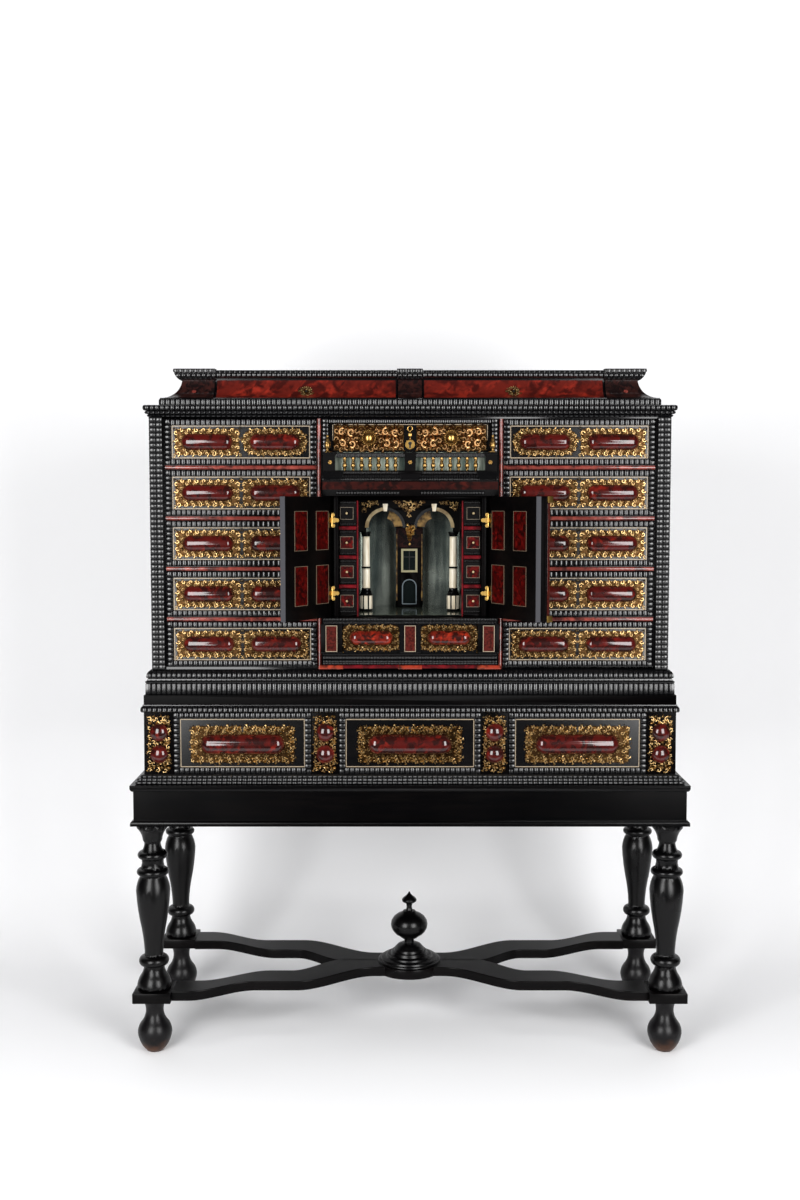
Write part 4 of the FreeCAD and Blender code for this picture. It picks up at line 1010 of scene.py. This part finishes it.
rosette = {"x": 0.181, "z": 1.378, "ring": 0.0032, "petal": (0.0021, 0.0016, 0.0021), "heart": (0.002,) * 3}
for number in range(3):
    x, z, ring = (number - 1) * rosette["x"], rosette["z"], rosette["ring"]
    petals = [ballPiece("petal", (x + ring * math.cos(angle), axis - 0.0062, z + ring * math.sin(angle)),
                        rosette["petal"], 8, 6) for angle in [k * pi / 3 for k in range(6)]]
    heart = ballPiece("heart", (x, axis - 0.0068, z), rosette["heart"], 8, 6)
    settled(joined([*petals, heart], "rosette" + str(number)), giltBrown)
galleryRail = {"ends": (0.0125, 0.168), "low": 1.3890, "high": 1.3998, "wavesZ": 1.3889,
               "ridges": (0.001, 0.0056), "points": [(0, 0, 0), (0.3, 0.4, 0.8), (0.5, 1.2, 1), (0.5, 9.8, 1),
                                                     (0.3, 10.6, 0.8), (0, 11, 0)]}
for sign, side in hands:
    ends = between(sign, *galleryRail["ends"])
    piece = boxPiece(side + "GalleryRail", (ends[0], axis - 0.0047, galleryRail["low"]),
                     (ends[1], axis + 0.0046, galleryRail["high"]))
    settled(piece, ebonyDull)
    waveRow(side + "GalleryRailWaves", *ends, axis - 0.0046, galleryRail["wavesZ"], galleryRail["points"],
            *galleryRail["ridges"], ebonyFine)

centre = {"half": 0.199, "frieze": mainFront - 0.032, "friezeZ": (1.3168, 1.3345), "corniceZ": 1.3365,
          "architrave": (0.024, 0.168), "architraveZ": 1.3052,
          "cornice": [(32, 0, 0), (35.6, 0.2, 0), (36, 0.8, 0.7), (36.2, 3, 1), (36, 5.4, 0.7),
                      (35.8, 6.2, 0), (37, 7, 0.8), (38, 9.5, 1), (40, 12, 1), (42.6, 14, 0.7),
                      (45.6, 15.2, 0), (46.2, 15.8, 0.6), (46.4, 18, 1), (46.2, 20, 0.6), (45.4, 20.6, 0)],
          "dots": [(0, 0, 0), (0.4, 0.5, 0.8), (0.8, 2, 1), (0.8, 6, 1), (0.4, 7.5, 0.8), (0, 8, 0)]}
span = (-centre["half"], centre["half"])
waveRow("centreCorniceWaves", *span, mainFront, centre["corniceZ"], centre["cornice"], 0.0016, 0.0056,
        ebonyFine)
corbel = {"places": (-0.175, 0, 0.175), "half": 0.026, "front": mainFront - 0.0505, "back": mainFront - 0.034,
          "low": 1.3385, "high": 1.3568, "bend": 1.345, "narrow": 0.72, "setBack": 0.006}
for number, x in enumerate(corbel["places"]):
    piece = boxPiece("corbel" + str(number), (x - corbel["half"], corbel["front"], corbel["low"]),
                     (x + corbel["half"], corbel["back"], corbel["high"]), 0.0006)
    for vertex in piece.data.vertices:
        if vertex.co.z < corbel["bend"]:
            swell(vertex.co, x, 0, corbel["narrow"], 1)
            vertex.co.y += corbel["setBack"]
    settled(piece, ebonyFine)
piece = boxPiece("redFrieze", (span[0], centre["frieze"] - 0.0006, centre["friezeZ"][0]),
                 (span[1], centre["frieze"] + 0.001, centre["friezeZ"][1]))
settled(piece, shellFrieze)
for sign, side in hands:
    waveRow(side + "ArchitraveWaves", *between(sign, *centre["architrave"]), centre["frieze"],
            centre["architraveZ"], centre["dots"], 0.002, 0.0064, ebonyFine)
# Mirror faces above 1.35 m take the pale paint: painted reflection.
paintFaces(standIn("niche_mirrors", mirror), palePane, lambda co: co.z > 1.35)
print("centre made")


# Centre below the doors: red panels, ridged base, red foot strips
def redPanel(name, x, y, z, width, height, body="cabinet"):
    settled(slabPiece(name, x, z, width / 2, height / 2, y - 0.0006, y + 0.001), shellPanel, body)
    settled(borderPiece(name + "String", x, z, width / 2, height / 2, y, 0.0013, 0.0010), string, body)


pedestal = {"x": 0.1795, "y": mainFront - 0.034, "z": 0.9775, "height": 0.060, "waves": 0.0243,
            "wavesZ": 0.9432, "points": [(0, 0, 0), (0.8, 0.4, 0.6), (1, 1.6, 1), (0.8, 3, 0.8), (0, 3.6, 0)]}
foot = {"y": mainFront - 0.0395, "z": 0.9138, "section": (0.0042, 0.003), "blockY": mainFront - 0.0425,
        "blockZ": 0.9128, "blockHalf": 0.027, "blockSection": (0.0046, 0.0035)}
floorEdge = [(0, 0, 0), (0.4, 0.4, 0.7), (0.8, 2.2, 1), (0.4, 4.4, 0.7), (0, 5, 0), (0.8, 5.2, 0),
             (1, 6, 0.4), (1.2, 8, 1), (1.4, 11.6, 1), (1, 13.4, 0.6), (0, 13.9, 0)]
centreBase = [(38, 9.2, 0), (38, 9.8, 0.7), (38, 12, 1), (37.6, 14, 0.7), (37, 14.8, 0), (36, 15.4, 0.7),
              (35, 18, 1), (33.6, 21, 0.8), (33, 22, 0), (33, 22.8, 0.7), (32.4, 26, 1), (31.6, 29, 0.7),
              (31, 30, 0), (30.6, 33.4, 0)]
for sign, side in hands:
    redPanel(side + "PedestalPanel", sign * pedestal["x"], pedestal["y"], pedestal["z"], 0.0262,
             pedestal["height"])
redPanel("plinthPilasterPanel", 0, pedestal["y"], pedestal["z"], 0.0258, pedestal["height"], "plinth_drawer")
waveRow("nicheFloorWaves", *span, pedestal["y"], 1.0111, floorEdge, 0.0016, 0.0064, ebonyFine)
waveRow("centreBaseWaves", *span, mainFront, 0.909, centreBase, 0.0018, 0.0064, ebonyFine)
redBar("footStrip", *span, foot["y"], foot["z"], *foot["section"], redBright)
for number in range(3):
    x = (number - 1) * pedestal["x"]
    redBar("footBlock" + str(number), x - foot["blockHalf"], x + foot["blockHalf"], foot["blockY"],
           foot["blockZ"], *foot["blockSection"], footRed)
    waveRow("pedestalWaves" + str(number), x - pedestal["waves"], x + pedestal["waves"], pedestal["y"],
            pedestal["wavesZ"], pedestal["points"], 0.001, 0.0064, ebonyDull,
            "cabinet" if x else "plinth_drawer")
print("plinth made")

# Doors: red panels with pale lines, hinge plates, edges
joints = {joint["name"]: joint for joint in frame["joints"]}
door = {"panel": (0.024, 0.044), "middle": (0.0986, 1.1635), "pitch": (0.041, 0.061), "thick": 0.014,
        "hinges": (1.080, 1.247), "strip": (1.041, 1.286)}
hinge = {"door": ((0.0165, 0, 0.0054), (0.0075, 0, 0.0064)),
         "stile": ((0.0114, 0, 0.0046), (0.0022, 0.0122, 0.0044), (0.0022, -0.0122, 0.0044),
                   (0.0036, 0, 0.0062)),
         "barrel": 0.0024, "split": 0.0052, "reach": 0.0130, "lap": 0.00008}
stileLobes = []
for sign, side in hands:
    name = side + "_door"
    joint = joints[name + "_hinge"]
    pin = Vector((abs(joint["pos_m"][0]), joint["pos_m"][1], 0))
    swing = Matrix.Rotation(math.radians(joint["range_deg"][1]), 4, "Z")
    opened = Matrix.Diagonal((sign, 1, 1, 1)) @ Matrix.Translation(pin) @ swing @ Matrix.Translation(-pin)
    shut = opened.inverted()
    face = pin.y - 0.0018

    def hung(obj, material):
        obj.data.transform(opened)
        if sign < 0:
            obj.data.flip_normals()
        return settled(obj, material, name)

    leaf = standIn(name, ebonyDull, 0.0008)
    if sign > 0:
        outer = face - door["thick"] - 0.0062
        low, high = door["strip"]
        paintFaces(leaf, shellPanel, lambda co: (shut @ co).y < outer and low < co.z < high)
        paintFaces(leaf, giltPlain, lambda co: (shut @ co).y < outer and not low < co.z < high)
    for i, column in ((-1, "Out"), (1, "In")):
        for j, level in ((-1, "Low"), (1, "High")):
            x, z = door["middle"][0] + i * door["pitch"][0], door["middle"][1] + j * door["pitch"][1]
            tag = side + "Door" + column + level
            hung(slabPiece(tag + "Panel", x, z, *door["panel"], face, face + 0.0016), shellDoor)
            hung(borderPiece(tag + "String", x, z, *door["panel"], face, 0.0009, -0.0019), stringDim)
    # A thin grey skin on each door's free edge: painted reflection.
    hung(boxPiece(side + "DoorEdge", (0.0004, face - 0.0135, 1.0265), (0.0012, face - 0.0005, 1.3005)),
         edgeGrey)
    lobes = []
    for z in door["hinges"]:
        for k, (across, up, size) in enumerate(hinge["door"]):
            top = face + 0.0014 + k * hinge["lap"]
            lobes.append(discPiece("lobe", pin.x - across, face + 0.0002, top, z + up, size))
        lobes.append(uprightPiece("barrel", (pin.x, pin.y), z - hinge["split"], z + hinge["split"],
                                  hinge["barrel"]))
    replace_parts(hung(joined(lobes, side + "DoorLobes"), giltPlain), side + "_door_hinges")
    for z in door["hinges"]:
        for k, (across, up, size) in enumerate(hinge["stile"]):
            top = face + 0.0020 - k * hinge["lap"]
            stileLobes.append(discPiece("lobe", sign * (pin.x - across), top, face + 0.0034, z + up, size))
        for turn in (-1, 1):
            ends = sorted((z + turn * (hinge["split"] + 0.0003), z + turn * hinge["reach"]))
            stileLobes.append(uprightPiece("barrel", (sign * pin.x, pin.y), *ends, hinge["barrel"]))
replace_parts(settled(joined(stileLobes, "stileLobes"), giltPlain), "door_hinges")
print("doors made")

# Inner drawers: small red panels, red rails, fine ridges
inner = {"panel": (0.015, 0.014), "rail": (0.1232, 0.1628), "section": (0.0042, 0.0028), "shift": 0.002,
         "knob": 0.62, "strip": (0.1188, 0.1219), "stripZ": (1.0255, 1.2915), "ridges": (0.0012, 0.0056),
         "waves": [
    (0, 0, 0), (0.3, 0.5, 0.8), (0.6, 1.6, 1), (0.6, 4.4, 1), (0.3, 5.5, 0.8), (0, 6, 0)]}
knobFront = mainFront - 0.0001
for sign, side in hands:
    for row in range(1, 5):
        name = "inner_drawer_" + side + "_" + str(row)
        low, high, middle = boxOf(name)
        x, z = middle.x, middle.z
        front = standIn(name, ebonyDull, angle=30)
        paintFaces(front, boneDark, lambda co: co.y < knobFront)
        for vertex in front.data.vertices:
            co = vertex.co
            if co.y < knobFront or (co.y < mainFront + 0.003 and max(abs(co.x - x), abs(co.z - z)) < 0.004):
                swell(co, x, z, inner["knob"], inner["knob"])
                co.x += sign * inner["shift"]
        x += sign * inner["shift"]
        if row > 1:
            panel = slabPiece(name + "Panel", x, z, *inner["panel"], mainFront - 0.0004, mainFront + 0.001)
            settled(panel, shellDoor, name)
        settled(borderPiece(name + "String", x, z, *inner["panel"], mainFront, 0.0008, 0.0007), stringDim,
                name)
        for tag, base in (("Low", low.z + 0.0008), ("High", high.z - 0.0068)):
            waveRow(name + tag + "Waves", low.x + 0.0006, high.x - 0.0006, mainFront, base, inner["waves"],
                    *inner["ridges"], ebonyDull, name)
        if row < 4:
            redBar(name + "Rail", *between(sign, *inner["rail"]), mainFront, low.z - 0.0053,
                   *inner["section"], redBright)
    corners = zip(between(sign, *inner["strip"]), (mainFront - 0.0008, mainFront + 0.001), inner["stripZ"])
    strip = boxPiece(side + "NicheStrip", *corners)
    settled(strip, redBright)
print("inner drawers made")


# Niche: arches, columns, pier, floor, mirrors
def arcPiece(name, x, radii, depths, angles, material, steps=14):
    section = ((radii[0], depths[1]), (radii[0], depths[0]), (radii[1], depths[0]), (radii[1], depths[1]))

    def put(i, j):
        angle = angles[0] + (angles[1] - angles[0]) * i / steps
        radius, y = section[j]
        return x + radius * math.cos(angle), y, arch["z"] + radius * math.sin(angle)

    settled(cleaned(gridPiece(name, steps + 1, 4, put), 30), material)


def onScreen(piece, material):
    piece.data.transform(Matrix.Translation((0, screenFront, 0)))
    settled(piece, material)


arch = {"x": 0.058, "z": 1.228, "radius": 0.045, "vault": (0.05, 1.35), "key": (0.0064, 0.0055),
        "keyZ": (1.2665, 1.2845)}
screenLow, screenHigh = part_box("niche_screen")
screenFront, screenBack = screenLow.y, screenHigh.y
standIn("niche_screen", ebonyDull, angle=30)
for sign, side in hands:
    x, r = sign * arch["x"], arch["radius"]
    halves = [(0, pi / 2), (pi / 2, pi)][::sign]  # outer half first
    depths = (screenFront - 0.003, screenBack)
    arcPiece(side + "ArchBone", x, (r - 0.005, r + 0.003), depths, halves[0], boneDark)
    arcPiece(side + "ArchDark", x, (r - 0.004, r + 0.003), depths, halves[1], ebonyWave)
    bend = arch["vault"] if sign < 0 else (pi - arch["vault"][1], pi - arch["vault"][0])
    arcPiece(side + "Vault", x, (0.021, r + 0.001), (screenBack + 0.03, screenBack + 0.032), bend, ochre)
    half, thick = arch["key"]
    keystone = boxPiece(side + "Keystone", (x - half, screenFront - thick, arch["keyZ"][0]),
                        (x + half, screenFront, arch["keyZ"][1]), 0.0005)
    for vertex in keystone.data.vertices:
        if vertex.co.z < 1.275:
            swell(vertex.co, x, 0, 0.62, 1)
    settled(keystone, ivory)
    spots = [(0.0985, 1.2830, 0.0064, 0.4 * sign, sign), (0.0865, 1.2862, 0.0056, 1.4, -sign),
             (0.0765, 1.2878, 0.0042, 2.2, sign), (0.1075, 1.2720, 0.0056, 0.2, -sign),
             (0.1100, 1.2855, 0.0046, 1.0, sign)]
    spots = [(sign * x, z, size * 1.15, turn, flip) for x, z, size, turn, flip in spots]
    # The spandrels carry the painted sheen gilt.
    onScreen(platePiece(side + "Spandrel", spots), giltBright)
spots = [(0, 1.2830, 0.0085, 0, 1), (0.0001, 1.2690, 0.0072, pi, 1)]
for sx in (-1, 1):
    spots += [(sx * x, z, size, turn * sx, sx) for x, z, size, turn in (
        (0.0130, 1.2850, 0.0066, 0.6), (0.0245, 1.2868, 0.0056, 1.2), (0.0345, 1.2880, 0.0042, 1.6),
        (0.0085, 1.2745, 0.0062, 2.4), (0.0190, 1.2780, 0.0052, 2.0))]
onScreen(platePiece("centreSpandrel", spots + [(0, 1.2575, 0.0056, pi, 1)]), giltBright)
spots = [(0.0062, 1.2280, 0.0072, 0.5, 1), (0, 1.2230, 0.0092, 0, 1), (-0.0062, 1.2280, 0.0072, -0.5, -1),
         (0, 1.2090, 0.0085, pi, 1), (0.0052, 1.2160, 0.0060, 0.9, 1), (0, 1.1985, 0.0055, pi, 1),
         (-0.0052, 1.2160, 0.0060, -0.9, -1)]
drop = ballPiece("drop", (0, -0.004, 1.1890), (0.0030, 0.0030, 0.0046), 10, 8)
onScreen(joined([platePiece("bracket", spots, "bold", 1.8), drop], "bracket"), giltBrown)

column = {"x": 0.104, "y": mainFront + 0.116, "half": 0.0145, "panel": 0.0041, "low": 1.0345, "high": 1.0660,
          "dark": ((0, 1.0842), (1.1308, 1.1352), (1.2068, 2))}
shafts = standIn("niche_columns", ivory, angle=30)
paintFaces(shafts, ebony, lambda co: any(low < co.z < high for low, high in column["dark"]))
for sign, side in hands:
    panels = []
    for turn in (-pi / 2, -pi / 4, 0, pi / 4, pi / 2):
        panel = boxPiece("panel", (-column["panel"], -column["half"] - 0.0005, column["low"]),
                         (column["panel"], -column["half"] + 0.0005, column["high"]))
        spot = Matrix.Translation((sign * column["x"], column["y"], 0))
        panel.data.transform(spot @ Matrix.Rotation(turn, 4, "Z"))
        panels.append(panel)
    settled(joined(panels, side + "PedestalBone"), ivory)

pier = {"window": (0.0200, 1.1155, 1.1735), "bar": 0.0050, "recess": (0.0170, 1.0372, 1.0805), "beads": [
    (0, 0, 0), (0.6, 0.6, 0.8), (0.8, 1.6, 1), (0.6, 2.6, 0.8), (0, 3.2, 0)]}
front = mainFront + 0.230
half, low, high = pier["window"]
middle, tall = (low + high) / 2, (high - low) / 2
settled(borderPiece("windowCasing", 0, middle, half, tall, front, pier["bar"], 0.003), paleFrame)
settled(slabPiece("windowGlass", 0, middle, half - 0.004, tall - 0.004, front - 0.0006, front + 0.001),
        glassDark)
bars = [slabPiece("bar", 0, middle, 0.0012, tall - 0.003, front - 0.002, front),
        slabPiece("bar", 0, high - 0.02025, half - 0.003, 0.00125, front - 0.0022, front)]
settled(joined(bars, "windowBars"), keyBlack)
half, low, spring = pier["recess"]
outline = [(-half, low), (-half, spring)]
outline += [(-half * math.cos(angle), spring + half * math.sin(angle))
            for angle in [k * pi / 8 for k in range(1, 8)]]
outline += [(half, spring), (half, low), (-half, low)]
rim = cordPiece([(x, front, z) for x, z in outline], [0.0013] * len(outline))
rim.name = "recessRim"
settled(cleaned(rim), paleBlue)
niche = [("recessGlass", glassDark, (-half + 0.001, front + 0.0110, low + 0.001),
          (half - 0.001, front + 0.0118, spring + 0.0160)),
         ("pierUpper", blockBrown, (-0.0325, front - 0.0006, 1.177), (0.0325, front + 0.001, 1.2245))]
for sign, side in hands:
    waveColumn(side + "PierBeads", sign, 0.0295, front, 1.045, 0.165, pier["beads"], 0.001, 0.0046, ochre)
    for tag, ends, depths, heights in (
            ("Low", (0.034, 0.1185), (0.2725, 0.2755), (1.0294, 1.0445)),
            ("High", (0.034, 0.1185), (0.2725, 0.2755), (1.2425, 1.2885)),
            ("Side", (0.1182, 0.1188), (0.135, 0.272), (1.040, 1.240))):
        corners = zip(between(sign, *ends), [mainFront + depth for depth in depths], heights)
        niche.append((side + tag + "Mirror", mirror, *corners))
niche.append(("nicheFloor", chequer, (-0.1188, mainFront - 0.0005, 1.0289),
              (0.1188, mainFront + 0.2728, 1.0294)))
for name, material, low, high in niche:
    settled(boxPiece(name, low, high), material)
print("niche made")

# Top: concave red panels and their escutcheons
cove = {"reach": 0.045, "rise": 0.049, "low": topLow.z + 0.018, "lift": 0.0006, "rows": 12,
        "endBlock": 0.4535, "centre": 0.0275, "inlay": (0.500, 0.55, 0.005),
        "lean": Matrix.Rotation(math.radians(-40), 4, "X")}


def coveSpot(t, lift):
    angle = t * pi / 2
    out = cove["reach"] * (1 - math.sin(angle)) + lift * math.sin(angle)
    up = cove["rise"] * (1 - math.cos(angle)) + lift * math.cos(angle)
    return neckFront - out, cove["low"] + up


def coveSheet(name, x0, x1, t0, t1, material, body="cabinet", flare=0):
    def put(i, j):
        y, z = coveSpot(t0 + (t1 - t0) * j / cove["rows"], cove["lift"])
        return (x0, x1)[i] + flare * i * (neckFront - y), y, z

    settled(cleaned(gridPiece(name, 2, cove["rows"] + 1, put), 60), material, body)


for sign, side in hands:
    body = "top_drawer_" + side
    low, high, middle = boxOf(body)
    coveSheet(side + "TopPanel", low.x + 0.004, high.x - 0.004, 0.10, 0.93, shellTop, body)
    coveSheet(side + "EndBlock", sign * cove["endBlock"], sign * neckHalf, 0.03, 0.98, blockBrown, flare=sign)
    x, t, radius = cove["inlay"]
    spot = discPiece(side + "EndInlay", 0, -0.0006, 0, 0, radius, 12)
    spot.data.transform(Matrix.Translation((sign * x, *coveSpot(t, cove["lift"]))) @ cove["lean"])
    settled(spot, redEdge)
    tilt = Matrix.Translation((middle.x, *coveSpot(0.52, 0.001))) @ cove["lean"]
    settled(copied(plates["escutcheon"], tilt, side + "TopEscutcheon"), giltOld, body)
    plate = settled(discPiece(side + "TopKeyPlate", 0, -0.0016, 0, 0, 0.0075), giltDark, body)
    # The top keyhole is a black disc: painted shade for the opening.
    hole = settled(discPiece(side + "TopKeyHole", 0, -0.0022, -0.0012, 0.001, 0.0024, 14), keyBlack, body)
    for piece in (plate, hole):
        piece.data.transform(tilt)
coveSheet("centreBlock", -cove["centre"], cove["centre"], 0.03, 0.98, blockBrown)
endCap = {"inner": 0.4475, "closed": 0.4500, "depth": 0.075, "ridge": 0.0022, "middle": 0.030, "points": [
    (5, -4, 0), (7, -3.4, 0.6), (9.4, 0, 1), (11.8, 4, 1), (14, 8, 1), (15.6, 11.2, 0.8), (16, 12.2, 0),
    (17.6, 12.8, 0.7), (18, 16.4, 1), (17.6, 19.8, 0.7), (16.6, 20.6, 0), (-10, 20.7, 0)]}
piece = rippleWrap("endCapWaves", neckHalf, neckFront, capLow, endCap["ridge"], endCap["points"])
trimmed(piece, lambda co: abs(co.x) > endCap["inner"] and co.y < neckFront + endCap["depth"])
for vertex in piece.data.vertices:
    co = vertex.co
    if abs(co.x) < endCap["closed"] or co.y > neckFront + endCap["depth"] - 0.0025:
        co.x = math.copysign(min(abs(co.x), neckHalf + 0.002), co.x)
        co.y = max(co.y, neckFront - 0.002)
settled(piece, ebonyWave)
waveRow("centreCapWaves", -endCap["middle"], endCap["middle"], neckFront, capLow, endCap["points"],
        endCap["ridge"], pitch)
print("top made")

# Remaining frame nodes
for name in nodes:
    if not nodes[name].hide_render:
        nodes[name].data.materials.clear()
        nodes[name].data.materials.append(giltDark if "hinges" in name else ebony)
for piece in [*units["fine"], *units["bold"], *plates.values()]:
    bpy.data.objects.remove(piece)

# Studio: floor and wall, two soft boxes beside the camera, a high fill
sweep = {"near": -1.05, "flat": 1.5, "bend": 0.5, "length": 6.5, "half": 3.2, "drop": 0.0005}
bpy.ops.mesh.primitive_grid_add(x_subdivisions=2, y_subdivisions=40, size=2)
floor = made("studio")
near, flat, bend = sweep["near"], sweep["flat"], sweep["bend"]
for vertex in floor.data.vertices:
    along = (vertex.co.y + 1) / 2 * sweep["length"]
    if along < flat:
        spot = (near + along, 0.0)
    elif along < flat + bend * pi / 2:
        angle = (along - flat) / bend
        spot = (near + flat + bend * math.sin(angle), bend - bend * math.cos(angle))
    else:
        spot = (near + flat + bend, bend + along - flat - bend * pi / 2)
    vertex.co = (vertex.co.x * sweep["half"], spot[0], spot[1] - sweep["drop"])
floor.data.polygons.foreach_set("use_smooth", [True] * len(floor.data.polygons))
white, shader, place = newMaterial("studioWhite", {"Roughness": 0.9, "Specular IOR Level": 0.1})
toEye = place.via("ShaderNodeLightPath", {}, "Is Camera Ray")
toEye.mixed((0.74, 0.74, 0.75), (0.905, 0.905, 0.915)).feed(shader, "Base Color")
behind = place.via("ShaderNodeNewGeometry", {}, "Backfacing")
clear = place.via("ShaderNodeBsdfTransparent", {})
seen = place.via("ShaderNodeMixShader", {0: behind, 1: Wire(place.tree, shader.outputs[0]), 2: clear})
seen.feed(place.tree.nodes["Material Output"], "Surface")
floor.data.materials.append(white)


def softBox(name, place, target, width, height, power):
    bpy.ops.object.light_add(type="AREA", location=place)
    lamp = bpy.context.object
    lamp.name = name
    lamp.data.shape = "RECTANGLE"
    lamp.data.size = width
    lamp.data.size_y = height
    lamp.data.energy = power
    lamp.rotation_euler = (Vector(target) - Vector(place)).to_track_quat("-Z", "Y").to_euler()
    return lamp


for sign, side in hands:
    softBox(side + "Box", (sign * 1.42, -2.55, 1.35), (0, 0, 1.1), 1.2, 2.1, 88)
softBox("topFill", (0, -0.6, 3.8), (0, 0.2, 0.6), 3.0, 2.0, 34).visible_glossy = False

world = bpy.data.worlds.new("studioWorld")
bpy.context.scene.world = world
world.use_nodes = True
backdrop = world.node_tree.nodes["Background"]
backdrop.inputs["Color"].default_value = colour((1, 1, 1))
rays = world.node_tree.nodes.new("ShaderNodeLightPath")
toEye = Wire(world.node_tree, rays.outputs["Is Camera Ray"])
toGloss = Wire(world.node_tree, rays.outputs["Is Glossy Ray"])
(toEye * 0.85 + (1 - toGloss) * 0.12 + 0.03).feed(backdrop, "Strength")

camera = bpy.data.objects.new("camera", bpy.data.cameras.new("camera"))
bpy.context.scene.collection.objects.link(camera)
camera.location = (-0.023, -3.18903, 1.288)
camera.rotation_euler = (math.radians(85.8), 0, 0)
camera.data.sensor_fit = "VERTICAL"
camera.data.sensor_height = 36.0
camera.data.lens = 39.93
camera.data.clip_end = 100
bpy.context.scene.camera = camera
bpy.context.scene.view_settings.view_transform = "Standard"
print("studio made")
